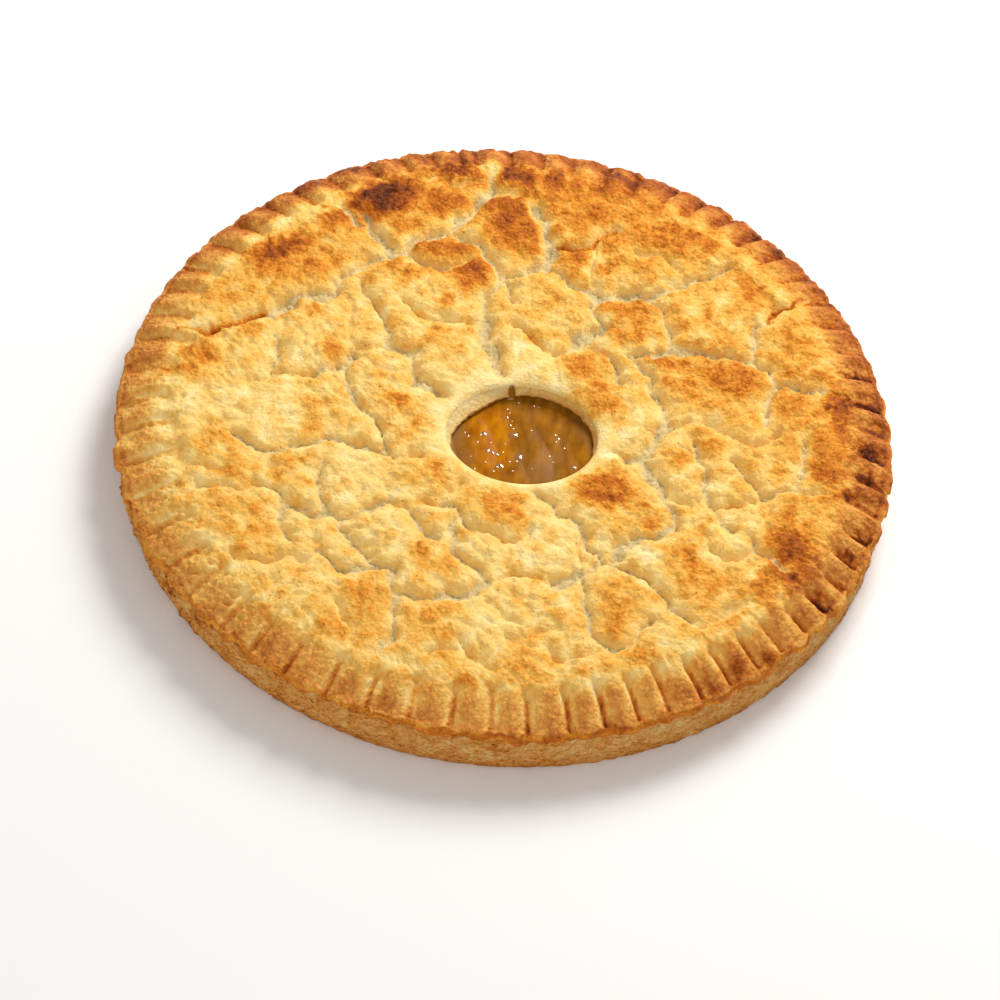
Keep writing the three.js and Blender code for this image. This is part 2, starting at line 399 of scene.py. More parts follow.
def install(piece: Piece, material: Material, slot: Slot, *nodes: str) -> None:
    """Dresses a piece, lets it ride on the pie and hides the frame nodes that it stands for.

    Args:
        piece: The piece.
        material: Its finish.
        slot: The record's material slot; not used.
        nodes: Frame nodes that the piece replaces.
    """
    piece.data.materials.append(material)
    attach(piece, ROOT_BODY)
    if nodes:
        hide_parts(*nodes)
    LOG.info("%s: %d triangles", piece.name, len(piece.data.polygons))


@dataclass(frozen=True)
class LidPastry:
    """Shortcrust baked on top: pale and dry, browned in patches, with a fine crumbly grain.

    The eye sees cream dough, golden to dark brown blushes broken into freckles, and chalky floors
    where the dough has split.
    """

    name: str = "shortcrust_baked_golden"
    browning: tuple[tuple[float, str], ...] = (
        (0.00, "#f7df9f"), (0.14, "#f3ce7b"), (0.30, "#ebb04d"), (0.45, "#dc8d2c"),
        (0.60, "#c26b18"), (0.74, "#a45212"), (0.87, "#7d3a0e"), (1.00, "#54250a"),
    )
    # Pale dough of the crack floors, tinted greyer as painted shade in the narrow cracks.
    shaded_split_floor: str = "#d6c08a"
    mottle_mm: float = 4.0
    freckle_mm: float = 0.8
    crumb_mm: float = 1.4
    dust_mm: float = 0.7
    pore_mm: float = 3.2
    crumb_share: float = 0.3
    speckle_mean: float = 0.665
    mottle_mean: float = 0.5
    crumb_relief_mm: float = 0.6
    dust_relief_mm: float = 0.5
    glow_mm: float = 0.8

    def level(self, tree: Tree, place: Socket, bake: Socket, crumb: Node) -> Node:
        """Works out how brown each place is, with freckles, pinholes and blotches.

        Args:
            tree: The material's node tree.
            place: Position on the pie.
            bake: Browning mark of the lid.
            crumb: Distance from the middle of the nearest crumb.

        Returns:
            Place in the browning ramp.
        """
        freckle = add_node(tree, "TexNoise", {
            "Vector": place, "Scale": grain(self.freckle_mm), "Detail": 2.0, "Roughness": 0.7,
        })
        # The gaps between the crumbs, which the bump sinks, are coloured a little darker than the crumbs.
        speckle = add_node(tree, "Math", {
            0: crumb, 1: self.crumb_share, 2: freckle,
        }, {"operation": "MULTIPLY_ADD"})
        centred = add_node(tree, "Math", {0: speckle, 1: self.speckle_mean}, {"operation": "SUBTRACT"})
        # Freckles show most where the crust has browned, so their swing grows with the baking.
        swing = add_node(tree, "MapRange", {
            "Value": bake, "From Min": 0.12, "From Max": 0.6, "To Min": 0.2, "To Max": 0.42,
        })
        freckled = add_node(tree, "Math", {
            0: centred, 1: swing, 2: bake,
        }, {"operation": "MULTIPLY_ADD"})
        # Steam has left pinholes with browned edges, about half of them deep enough to show.
        pores = add_node(tree, "TexVoronoi", {
            "Vector": place, "Scale": grain(self.pore_mm),
        }, {"feature": "F1"})
        pore = add_node(tree, "MapRange", {
            "Value": pores, "From Min": 0.04, "From Max": 0.13, "To Min": 0.32, "To Max": 0.0,
        })
        deep = add_node(tree, "Math", {
            0: pores.outputs["Color"], 1: 0.5,
        }, {"operation": "GREATER_THAN"})
        pored = add_node(tree, "Math", {0: pore, 1: deep, 2: freckled}, {"operation": "MULTIPLY_ADD"})
        mottle = add_node(tree, "TexNoise", {
            "Vector": place, "Scale": grain(self.mottle_mm), "Detail": 3.0, "Roughness": 0.6,
        })
        mottled = add_node(tree, "Math", {0: mottle, 1: self.mottle_mean}, {"operation": "SUBTRACT"})
        blotchy = add_node(tree, "MapRange", {
            "Value": bake, "From Min": 0.2, "From Max": 0.5, "To Min": 0.22, "To Max": 0.5,
        })
        return add_node(tree, "Math", {0: mottled, 1: blotchy, 2: pored}, {"operation": "MULTIPLY_ADD"})

    def material(self) -> Material:
        """Builds the node material from the lid's browning and split marks.

        Returns:
            The material.
        """
        material, tree = new_material(self.name)
        place = add_node(tree, "TexCoord").outputs["Object"]
        bake, split = (
            add_node(tree, "Attribute", settings={"attribute_name": mark}).outputs["Fac"]
            for mark in ("bake", "split")
        )
        crumb = add_node(tree, "TexVoronoi", {
            "Vector": place, "Scale": grain(self.crumb_mm), "Detail": 0.0,
        }, {"feature": "F1"})
        level = self.level(tree, place, bake, crumb)
        crust = add_node(tree, "ValToRGB", {"Fac": level}, stops=self.browning)
        floor = add_node(tree, "Mix", {
            0: split, 6: crust, 7: to_linear(self.shaded_split_floor),
        }, {"data_type": "RGBA"})
        dust = add_node(tree, "TexNoise", {
            "Vector": place, "Scale": grain(self.dust_mm), "Detail": 2.0,
        })
        pebbly = add_node(tree, "MapRange", {
            "Value": bake, "From Min": 0.2, "From Max": 0.5, "To Min": 0.4, "To Max": 1.0,
        })
        coarse = add_node(tree, "Bump", {
            "Strength": pebbly, "Distance": self.crumb_relief_mm * MM, "Height": crumb,
        }, {"invert": True})
        normal = add_node(tree, "Bump", {
            "Strength": 0.65, "Distance": self.dust_relief_mm * MM, "Height": dust, "Normal": coarse,
        })
        # Butter that has come to the surface makes the browned crust a little smoother.
        rough = add_node(tree, "MapRange", {
            "Value": level, "From Min": 0.35, "From Max": 0.85, "To Min": 0.75, "To Max": 0.5,
        })
        shader = add_node(tree, "BsdfPrincipled", {
            "Base Color": floor.outputs[2],
            "Roughness": rough,
            "Specular IOR Level": 0.1,
            "Subsurface Weight": 0.05,
            "Subsurface Radius": (1.0, 0.55, 0.25),
            "Subsurface Scale": self.glow_mm * MM,
            "Normal": normal,
        })
        add_node(tree, "OutputMaterial", {"Surface": shader})
        return material


@dataclass(frozen=True)
class CasePastry:
    """Shortcrust baked against a mould: tan, layered and flaky.

    The eye sees tan dough with brown edges on its layers and paler crumbs between them.
    """

    name: str = "shortcrust_baked_in_mould"
    browning: tuple[tuple[float, str], ...] = (
        (0.00, "#fbd892"), (0.30, "#f3b05a"), (0.55, "#e08d39"), (0.78, "#b0651e"), (1.00, "#723c0d"),
    )
    flake_mm: float = 4.5
    crumb_mm: float = 1.2
    crumb_relief_mm: float = 1.0
    glow_mm: float = 0.8

    def material(self) -> Material:
        """Builds the node material from the wall's browning mark.

        Returns:
            The material.
        """
        material, tree = new_material(self.name)
        place = add_node(tree, "TexCoord").outputs["Object"]
        bake = add_node(tree, "Attribute", settings={"attribute_name": "bake"}).outputs["Fac"]
        # Layers lie flat, so the flakes are four times as wide as they are high.
        squeezed = add_node(tree, "Mapping", {"Vector": place, "Scale": (1.0, 1.0, 4.0)})
        flake = add_node(tree, "TexNoise", {
            "Vector": squeezed, "Scale": grain(self.flake_mm), "Detail": 4.0, "Roughness": 0.65,
        })
        swing = add_node(tree, "MapRange", {
            "Value": flake, "From Min": 0.25, "From Max": 0.75, "To Min": -0.28, "To Max": 0.28,
        })
        flaked = add_node(tree, "Math", {0: bake, 1: swing}, {"operation": "ADD"})
        crumb = add_node(tree, "TexNoise", {
            "Vector": squeezed, "Scale": grain(self.crumb_mm), "Detail": 3.0, "Roughness": 0.7,
        })
        # Painted shade: the crevices between the crumbs are coloured darker than the crumbs.
        crevice_shade = add_node(tree, "MapRange", {
            "Value": crumb, "From Min": 0.28, "From Max": 0.55, "To Min": 0.5, "To Max": -0.08,
        })
        level = add_node(tree, "Math", {0: flaked, 1: crevice_shade}, {"operation": "ADD"})
        crust = add_node(tree, "ValToRGB", {"Fac": level}, stops=self.browning)
        bump = add_node(tree, "Bump", {
            "Strength": 1.0, "Distance": self.crumb_relief_mm * MM, "Height": crumb,
        })
        shader = add_node(tree, "BsdfPrincipled", {
            "Base Color": crust,
            "Roughness": 0.72,
            "Specular IOR Level": 0.1,
            "Subsurface Weight": 0.05,
            "Subsurface Radius": (1.0, 0.5, 0.2),
            "Subsurface Scale": self.glow_mm * MM,
            "Normal": bump,
        })
        add_node(tree, "OutputMaterial", {"Surface": shader})
        return material


@dataclass(frozen=True)
class WetFruit:
    """Cooked peach in its set syrup: smooth and wet, amber brown with riper orange flesh.

    The eye sees deep, streaky colour under a thin wet skin that shines softly.
    """

    name: str
    cooked: tuple[tuple[float, str], ...] = ((0.30, "#7a4a0c"), (0.50, "#915b12"), (0.72, "#a56d1c"))
    ripe: tuple[tuple[float, str], ...] = ((0.30, "#a05802"), (0.50, "#b66c03"), (0.72, "#c98408"))
    sheen: str = "#9c7042"
    streak_mm: float = 3.0
    ripple_mm: float = 3.0
    ripple_relief_mm: float = 0.3
    fibre_relief_mm: float = 0.5
    glow_mm: float = 1.5

    def material(self) -> Material:
        """Builds the node material: streaky colour by ripeness under a wet surface, with a greyish painted
        sheen.

        Returns:
            The material.
        """
        material, tree = new_material(self.name)
        place = add_node(tree, "TexCoord").outputs["Object"]
        ripeness, film = (
            add_node(tree, "Attribute", settings={"attribute_name": mark}).outputs["Fac"]
            for mark in ("ripe", "film")
        )
        # Fibres run along the slices, so the pattern is drawn out along Y.
        drawn = add_node(tree, "Mapping", {"Vector": place, "Scale": (1.0, 0.4, 1.0)})
        streak = add_node(tree, "TexNoise", {
            "Vector": drawn, "Scale": grain(self.streak_mm), "Detail": 3.0, "Roughness": 0.55,
        })
        cooked = add_node(tree, "ValToRGB", {"Fac": streak}, stops=self.cooked)
        ripe = add_node(tree, "ValToRGB", {"Fac": streak}, stops=self.ripe)
        flesh = add_node(tree, "Mix", {0: ripeness, 6: cooked, 7: ripe}, {"data_type": "RGBA"})
        # Painted sheen: a greyish tan reflection is mixed into the fruit's colour.
        colour = add_node(tree, "Mix", {
            0: film, 6: flesh.outputs[2], 7: to_linear(self.sheen),
        }, {"data_type": "RGBA"})
        ripple = add_node(tree, "TexNoise", {
            "Vector": place, "Scale": grain(self.ripple_mm), "Detail": 1.0, "Roughness": 0.5,
        })
        waved = add_node(tree, "Bump", {
            "Strength": 0.05, "Distance": self.ripple_relief_mm * MM, "Height": ripple,
        })
        # The fibres stand out a little, which breaks the wet shine into streaks.
        bump = add_node(tree, "Bump", {
            "Strength": 0.15, "Distance": self.fibre_relief_mm * MM, "Height": streak, "Normal": waved,
        })
        shader = add_node(tree, "BsdfPrincipled", {
            "Base Color": colour.outputs[2],
            "Roughness": 0.25,
            "Specular IOR Level": 0.02,
            "Subsurface Weight": 0.1,
            "Subsurface Radius": (1.0, 0.4, 0.08),
            "Subsurface Scale": self.glow_mm * MM,
            "Normal": bump,
        })
        add_node(tree, "OutputMaterial", {"Surface": shader})
        return material


@dataclass(frozen=True)
class EvenFinish:
    """A finish of one colour and one roughness all over."""

    name: str
    colour: str
    roughness: float
    specular: float

    def material(self) -> Material:
        """Builds the plain material.

        Returns:
            The material.
        """
        material, tree = new_material(self.name)
        shader = add_node(tree, "BsdfPrincipled", {
            "Base Color": to_linear(self.colour),
            "Roughness": self.roughness,
            "Specular IOR Level": self.specular,
        })
        add_node(tree, "OutputMaterial", {"Surface": shader})
        return material


# Clear amber syrup standing in drops: hard little glints from a mirror-smooth skin.
SYRUP_BEAD = EvenFinish("peach_syrup_drops", "#8f5c16", roughness=0.06, specular=1.0)
# Matt white studio board under the pie: an even pale ground without a shine.
WHITE_BOARD = EvenFinish("matt_white_board", "#f4f3f1", roughness=0.9, specular=0.1)


@dataclass(frozen=True)
class Band:
    """A soft band: its strength, and the middle and width of its bell."""

    strength: float
    middle: float
    width: float

    def at(self, values: Array) -> Array:
        """Strength of the band at each place."""
        return self.strength * bell(values, self.middle, self.width)


@dataclass(frozen=True)
class Patch:
    """A soft oval patch: its middle, half sizes, turn in degrees and strength."""

    x: float
    y: float
    half_width: float
    half_depth: float
    turn: float
    strength: float

    def square_off(self, x: Array, y: Array) -> Array:
        """Works out how far places lie from the patch's middle.

        Args:
            x: Places across the pie.
            y: Places along the pie.

        Returns:
            Square of the distance, which is 1 on the oval.
        """
        turn = math.radians(self.turn)
        off_x, off_y = x - self.x, y - self.y
        along = (off_x * math.cos(turn) + off_y * math.sin(turn)) / self.half_width
        across = (off_y * math.cos(turn) - off_x * math.sin(turn)) / self.half_depth
        return along ** 2 + across ** 2


@dataclass(frozen=True)
class Groove:
    """One pressed groove of the rim, and the rib of dough on its counterclockwise side.

    The groove lies at an angle in degrees, starts at an inner radius and may be darkened, partly by
    real burn and partly by painted shade. The rib may be browned.
    """

    angle: float
    depth: float
    start: float
    burn_and_shade: float
    brown: float = 0.0


# Plates of the lid by how far they have browned: the ends of each one's spine, x and y in turn.
PLATES: dict[Bake, tuple[tuple[float, ...], ...]] = {
    Bake.PALE: (
        (45, -53, 44, -54),
    ),
    Bake.CREAM: (
        (-20, 28, -18, 18), (-64, 16, -62, 13), (-95, -8, -86, -8), (-73, -2, -71, -18),
        (-45, -27, -45, -40), (66, -44, 73, -45), (40, -6, 40, -4), (0, 28, 8, 18), (16, -34, 22, -42),
        (-34, -48, -31, -58), (-3, -57, -2, -60), (12, -54, 20, -57), (28, -50, 29, -55),
        (0, -84, 2, -80),
    ),
    Bake.STRAW: (
        (-3, 62, -2, 60), (8, 50, 14, 40), (-5, 46, -6, 43), (-64, 31, -58, 31), (-46, 32, -45, 24),
        (-42, 48, -30, 44), (-20, 44, -15, 42), (-40, 18, -36, 12), (-80, 24, -80, 12),
        (-58, 2, -53, -12), (-32, 0, -30, -14), (-26, -26, -22, -34), (-62, -28, -59, -42),
        (-101, -36, -100, -38), (-88, -38, -86, -39), (86, 64, 80, 70), (80, -10, 84, -20),
        (52, -8, 55, -24), (66, -18, 71, -24), (70, -34, 77, -33), (33, 14, 40, 8),
        (-19, -45, -18, -46), (-58, -54, -57, -55), (-50, -58, -41, -64), (-75, -72, -58, -70),
        (-52, -78, -46, -88), (-20, -58, -14, -66), (-22, -72, -18, -72), (8, -70, 20, -76),
        (52, -76, 54, -84), (26, -89, 28, -88), (78, -52, 79, -53),
    ),
    Bake.GOLDEN: (
        (-56, 68, -50, 62), (-17, 74, -17, 74), (18, 62, 24, 56), (40, 62, 44, 60), (60, 80, 60, 72),
        (29, 32, 30, 32), (72, 56, 66, 54), (53, 50, 64, 38), (-93, 36, -80, 38), (-53, 21, -52, 19),
        (-97, 12, -97, 4), (-84, -22, -80, -33), (-82, -48, -70, -58), (86, 42, 90, 26), (74, 3, 75, 1),
        (64, -3, 60, -12), (33, -26, 40, -38), (25, 22, 25, 14), (-1, -35, 2, -43),
        (-35, -76, -35, -90), (-17, -82, -14, -94), (36, -66, 36, -80), (14, -93, 14, -94),
        (55, -50, 62, -68), (79, -64, 80, -65),
    ),
    Bake.AMBER: (
        (-45, 82, -22, 86), (10, 99, 10, 96), (16, 86, 23, 80), (28, 101, 37, 100), (40, 76, 48, 76),
        (34, 44, 39, 36), (-80, 52, -66, 56), (55, 20, 70, 16), (93, 12, 93, 2), (100, -8, 98, -18),
        (89, -34, 88, -48),
    ),
    Bake.BROWN: (
        (-24, 64, -14, 58), (-4, 84, -1, 70), (-4, 101, -4, 99),
    ),
}

# Cracks of the lid by how they have opened: x and y of each one's points in turn, at the plates' height.
CRACKS: dict[Split, tuple[tuple[float, ...], ...]] = {
    Split.FOLD: (
        (-60, 58, -59, 53, -56, 48), (-31, 83, -27, 78, -24, 77), (-1, 101, 1, 94, 4, 86),
        (10, 97, 16, 91.5), (26, 73, 26, 65, 28, 60), (55, 59, 58, 52, 60, 45, 65, 41),
        (67, 67, 74, 61, 79, 55, 80, 48), (20, 105, 22, 99, 24, 94, 30, 91), (3, 106, 5, 101, 6, 95),
        (-52, 40, -51, 33, -50.5, 26, -51, 20), (-74, 30, -71, 27, -72, 24, -73, 21),
        (-94, 19, -89, 18, -87, 13, -88, 8, -85, 2, -80, 0),
        (-90, -17.5, -84, -16.5, -79, -14.5, -78, -12, -82, -9.5, -88, -11),
        (-70, -26, -69.5, -31, -67, -36, -66, -40), (28, 38, 31, 36, 33, 32, 35, 27),
        (-30, 22, -29, 27, -26, 31, -22, 34), (71, -4, 69.5, -9, 70, -13),
        (80, -26, 82, -30, 80, -36, 77, -42), (98, -25, 100, -31, 98, -36, 96.5, -43, 91, -53),
        (57, -33, 60, -40, 63, -46, 67, -51), (69, -52, 70, -58, 70, -63),
        (-34.5, -22, -35.5, -30, -34, -36, -33, -40), (-55, -50, -54.5, -55, -52, -61),
        (-67, -79, -63, -76.5, -59, -73, -57, -68), (4.5, -52, 5, -57, 4, -62), (30, -81, 34, -83.5),
        (6, -87, 7.5, -91), (9, -88.5, 15, -86, 20, -83.5), (0, -75, 5, -80, 8, -82), (7, -72, 12, -78),
    ),
    Split.HAIR: (
        (-23, 56.5, -20, 59, -15, 60.5), (-36, 94, -28, 95, -20, 94, -14, 96),
        (-11, 91.5, -5, 91, 0, 92), (24, 70, 22.5, 63, 23, 57, 26, 51),
        (36, 70, 42, 70, 47, 68, 51, 64, 54, 60), (-38.5, 21, -43, 20, -47, 20, -49, 17),
        (-60, 7, -66, 6.5, -70, 6, -73, 8), (-72, 5, -77, 3, -80, 0),
        (-84, -41, -77, -40, -70, -39.5, -67, -39.5), (-98, -31, -95, -33, -88, -34.5, -82, -33.5),
        (-95, -33, -95, -38, -91, -42, -84, -41), (-36, 40, -32, 38, -27, 34, -22, 34.5, -10, 35),
        (0, 36, 3, 33.5, 5.5, 30, 10, 26.5, 14, 25), (15, 25, 20, 28, 26, 28.5, 31, 26),
        (-17, -38.5, -15, -34, -11, -30), (38, -14.5, 34, -12, 30, -13.5, 27.5, -15),
        (63, 2.7, 67, -1, 71, -4, 76, -6, 81, -4, 84, 0), (49.5, 0.5, 54, 0.5, 58, 1.5, 63, 2.7),
        (50, -27, 54, -30.5, 58, -31, 62, -27), (62, -28, 65, -31, 70, -30.5, 78, -28),
        (64, -48, 68, -51, 74, -50, 77, -46), (84, -23, 89.5, -22, 95, -23, 100, -22, 104, -20),
        (80, -54, 82, -57, 86, -60), (-33, -40, -30, -41.5, -26, -40.5, -22, -38.5, -17, -38.5),
        (-35, -21, -32, -23, -28, -22.5, -25, -20.5), (-7, -47, -2, -49, 3, -51, 8, -50, 10, -47),
        (-85, -61, -80, -61.5, -78, -66),
        (-78, -66, -75, -69, -70, -67.5, -65, -67, -60, -65.5, -55, -66),
        (-44, -81, -41, -86, -39, -90, -38, -94, -39.5, -97.5), (-39.5, -97.5, -35, -97, -31, -97),
        (0, -67, 3, -64.5, 6, -63.5, 12, -63, 15, -66, 19, -65.5), (-7, -90, -5, -94, -2, -97, 3, -99),
        (-17, -95.5, -12, -94.5, -8, -93), (25.5, -50, 25.5, -55, 26, -59.5),
        (18, -89, 20, -92, 23, -94, 28, -91.5, 33, -89.5, 37, -88),
        (60, -76.5, 64, -76, 67, -75, 70, -72, 74, -69.5, 78, -66),
    ),
    Split.SEAM: (
        (-58, 79, -56, 76, -53, 72), (-41, 60, -46, 57, -51, 53, -55, 49, -57, 46, -57, 41),
        (-41, 60, -37, 61.5, -33, 59.5, -28, 57, -23, 56.5), (-37, 61.5, -35, 66, -30, 70, -24, 71),
        (-22, 71, -17, 69.5, -12.5, 67.5, -9.5, 62, -7.5, 58, -4.5, 54, -2.5, 50, -1.5, 46),
        (9, 61, 4, 60, 0, 57.5, -4.5, 54), (9, 61, 14, 58, 18, 54, 22, 52),
        (37, 53.5, 41, 51.5, 46, 54, 51, 58, 58, 62, 62, 65, 67, 67),
        (-49, 47, -48, 43, -45, 38, -41, 33.5, -39, 28, -38.5, 21, -34, 22, -30.5, 21),
        (-73, 22, -72.5, 17, -71.5, 12, -73, 7, -72, 5),
        (-50, 11, -49.5, 4, -47, -1, -42, -5.5, -38, -11, -36.5, -16, -35, -21),
        (-80, -20, -77.5, -23.5, -73, -25, -70, -25.5, -65, -23, -58, -20.5, -52, -17, -47, -18.5),
        (-47, -18.5, -41, -19.5, -35, -21.5), (-67, -39.5, -65, -42, -63, -45.5, -58, -46.5, -54, -48),
        (-53.5, -27, -54.5, -33, -53, -38, -52, -43, -51, -46),
        (-5, 54, -8, 49, -10, 45, -9, 40, -8.5, 36), (28, 38.5, 25.5, 42, 24, 46, 25.5, 50.5),
        (31, 26, 33, 21, 34.5, 16), (-30.5, 21, -30, 17, -29.5, 12, -28, 8),
        (10, -29, 15, -34, 19, -38.5, 23, -41, 27, -46, 30, -51, 33, -56),
        (42, 51.5, 45, 50, 47, 45, 48.5, 40, 49, 35, 51, 31), (38, 28, 44, 28.5),
        (57, 30.5, 63, 30, 70, 29.5, 76, 29),
        (79, 46, 76, 43, 75.5, 38, 75.5, 33, 77, 27, 81, 25, 82, 19, 86, 19.5, 92, 19.3, 97, 18.5),
        (82, 19, 80.5, 14, 80.5, 9, 79.5, 3), (37, 27, 40, 22, 43.5, 18, 46, 11, 49.5, 5, 49.5, 0),
        (58, -7, 60, -12, 62, -17, 62, -23, 63, -28, 66, -33, 70, -39),
        (70, -13, 73, -17, 77, -21.5, 80, -26, 84, -23), (77, -43, 78, -47, 83, -49, 87, -53, 91, -53),
        (92, -3, 92, -10, 91, -16, 89.5, -22), (50, -28, 53, -33, 53, -38, 50, -42),
        (-54, -48, -51, -46, -47, -48, -44, -48, -41, -45, -36, -42, -33, -40),
        (-27, -41, -25.5, -45, -21, -50, -17, -52), (-17, -38.5, -12.5, -40, -11, -43, -7, -47),
        (-12, -44, -12, -50, -11, -56, -8, -60.5, -4, -62, -1.5, -66),
        (-64, -47, -63.5, -53.5, -60, -58),
        (-52, -61, -48, -65, -43, -68, -40, -68, -35, -65.5, -28.5, -65),
        (-46, -49, -46, -53, -42, -57, -37, -61.5, -34, -64.5),
        (-28.5, -65, -29, -70, -27, -74, -22, -75.5, -15, -75), (26, -60, 29, -59, 33, -56),
        (-26.5, -75, -27, -82, -26.5, -87, -28, -92, -30, -97.5, -25, -100, -20, -101.5, -17, -104),
        (26.5, -62, 28, -70, 29, -77, 30, -81, 33, -85, 37, -88, 41, -86.5, 45, -80.5, 47, -75),
        (33, -56, 37, -57.5, 42, -58.5, 46, -61, 50, -66, 55, -72, 60, -76.5),
    ),
    Split.GAPE: (
        (-50, 75, -48, 70, -44, 66, -41, 60),
        (-13, 104, -12, 97, -11.5, 91, -16, 86, -17.5, 80, -22, 75, -24, 71),
        (4, 86, 7, 79, 9, 71, 10, 66, 9, 61), (22, 52, 26, 50.5, 30, 50.5, 34, 53, 37, 53.5),
        (-76, 30.5, -72, 34, -69, 37, -65, 39.5, -57, 41), (-49, 17, -50, 13.5, -54, 10.5, -60, 7),
        (-8.5, 36, -9.5, 33, -8.5, 28, -5, 23, -4, 18, -2.5, 14),
        (14, 25, 17, 27, 20, 31, 24, 34, 28, 38.5), (-28, 8, -23, 6.5, -18, 3),
        (44, 28.5, 50, 31, 57, 30.5), (49.5, 0, 47, -5, 45, -10, 43, -13.5, 38, -14.5),
        (43, -14, 44, -18, 47, -23, 50, -27), (53, -40, 49, -43, 43, -45, 39, -48, 36, -53, 33, -56),
        (-15, -74.5, -12, -73, -7, -73.5, -4, -70.5, 0, -67), (19, -65.5, 23, -63.5, 26, -60),
    ),
    Split.DARK: (
        (10, 69.5, 14, 69, 19, 69, 22, 71.5, 25, 76, 29, 79), (79, 46, 81, 49, 83, 53, 87, 53, 90, 58),
        (-106, 18, -102, 19.5, -95, 20, -90, 22, -87, 25, -80, 29, -76, 30.5),
    ),
}

# Browned patches seen on the lid and its rim.
SCORCHES: tuple[Patch, ...] = tuple(Patch(*row) for row in (
    # Back of the pie.
    (-45.5, 84.5, 11, 8, 35, 0.95), (-38, 94, 6, 3, 40, 0.5), (-24, 99, 9, 3.5, 5, 0.8),
    (-21, 105, 3, 5, 0, 0.6), (-4, 102, 5, 6, 0, 0.7), (-5, 86, 6, 4, 0, 0.4), (-3, 76, 7, 7, 0, 0.4),
    (10, 101, 3, 4, 0, 0.65), (28, 103, 5, 7, 0, 0.5), (36, 104, 3, 7, 0, 0.65),
    (22, 86, 8, 5, 0, 0.25), (-24, 86, 10, 5, 15, 0.38), (-53, 77, 8, 6, 35, 0.55),
    (5, 97, 24, 5, 0, 0.36), (36, 96, 14, 4, -20, 0.22), (15, 65, 9, 6, 0, 0.4),
    (58, 68, 20, 9, -35, 0.06), (16, 71, 7, 2, 10, 0.3), (45, 75, 8, 6, 0, 0.25),
    (58, 78, 4, 6, 0, 0.35), (74, 60, 4, 8, 20, 0.35), (36, 45, 6, 4, 0, 0.3), (65, 33, 12, 3, 0, 0.35),
    (90, 23, 9, 3, 0, 0.35), (88, 37, 7, 9, 0, 0.22), (68, 21, 10, 6, 0, 0.35), (46, 26, 6, 3, 0, 0.35),
    (23, 22, 7, 6, 0, 0.3), (12, 48, 10, 8, 0, 0.12), (5, 36, 10, 7, 0, 0.12), (-20, 20, 6, 5, 0, 0.15),
    (81, -12, 6, 12, 0, 0.15), (84, 14, 8, 6, 0, 0.15), (28, 7, 7, 8, 0, 0.42), (100, 18, 4, 8, 0, 0.3),
    (101, 47, 5, 8, 30, 0.15), (100, -18, 4, 7, 0, 0.25), (-20, 63, 10, 5, 0, 0.3),
    (-15, 56, 7, 4, -20, 0.4), (-15, 49, 3, 4, 0, 0.3), (-22, 44, 3, 4, 0, 0.3),
    (-38, 53, 8, 4, 0, 0.35), (-62, 73, 4, 4, 0, 0.4), (-58, 101, 3, 4, -40, 0.7),
    (-70, 94, 4, 3, 40, 0.6),
    # Left side.
    (-78, 57, 11, 5, 35, 0.72), (-68, 49, 9, 8, 0, 0.12), (-88, 44, 6, 4, 0, 0.2),
    (-94, 36, 7, 6, 0, 0.25), (-67, 33, 6, 4, 0, 0.28), (-22, 28, 8, 4, 0, 0.35),
    (-55, 17, 4, 3, 0, 0.35), (-97, 10, 6, 8, 0, 0.3), (-82, 23, 5, 5, 0, 0.25),
    (-34, 0, 7, 4, -20, 0.32), (-27, -9, 5, 4, 0, 0.22), (-57, -4, 5, 5, 0, 0.15),
    (-57, -14, 7, 5, 0, 0.15), (-64, -30, 4, 4, 0, 0.25), (-80, -35, 8, 4, 0, 0.2),
    (-70, -62, 8, 8, 0, 0.1), (-112, 12, 5, 9, 0, 0.35), (-58, -95, 7, 5, 30, 0.22),
    (-66, -88, 5, 3, 40, 0.25),
    # Right side.
    (31, -28, 9, 7, 10, 0.55), (48, -38, 6, 4, 30, 0.35), (54, -13, 4, 4, 0, 0.3),
    (62, -7, 4, 4, 0, 0.25), (72, -23, 3, 4, 0, 0.25), (62, -41, 3, 4, 0, 0.3),
    (88.5, -48.5, 8.5, 10.5, 10, 0.68), (84.5, -55, 5.5, 4.5, 0, 0.5), (98, -12, 5, 10, 0, 0.3),
    (106, -20, 3, 3, 0, 0.85), (112, -2.5, 4, 2, 0, 0.92), (112, 0.5, 3, 1.4, 0, 0.8),
    (111.5, -12.5, 4.5, 2, -8, 0.92), (109, 17, 4, 2, 10, 0.88), (108, 29, 4, 1.5, 15, 0.75),
    (104, 5, 4, 14, 0, 0.34), (80, 67, 4, 22, 40, 0.2), (102, 13, 3, 3, 0, 0.65),
    (103, 8, 2, 4, 0, 0.35), (110, -33.5, 3, 1.7, -15, 0.85), (104, -42, 2.5, 1.4, -20, 0.65),
    (104.5, -53, 3, 1.4, -25, 0.45), (98.5, -60.5, 4.5, 1.8, -30, 0.92),
    # Front of the pie.
    (-18, -61, 8, 5, -30, 0.22), (-36, -76, 5, 8, 0, 0.2), (-14, -84, 8, 8, 0, 0.1),
    (2, -37, 8, 6, 0, 0.27), (-18, -27, 8, 6, 0, 0.28), (57, -52, 4, 4, 0, 0.25),
    (63, -60, 6, 6, 0, 0.25), (40, -70, 6, 6, 0, 0.15), (36, -80, 6, 5, 0, 0.2),
    (79, -63, 6, 5, 0, 0.3), (-3, -104, 5, 2, 0, 0.3), (11, -97, 3, 2, 0, 0.3),
    (75, -87, 4, 5, -35, 0.42), (84, -83, 3, 4, -40, 0.45), (59, -98, 3, 5, 0, 0.3),
    (66, -94, 3, 4, -30, 0.4), (64, -76, 9, 5, 40, 0.12), (43, -90, 8, 4, 20, 0.24),
    (-40, -89, 9, 5, -10, 0.3),
))

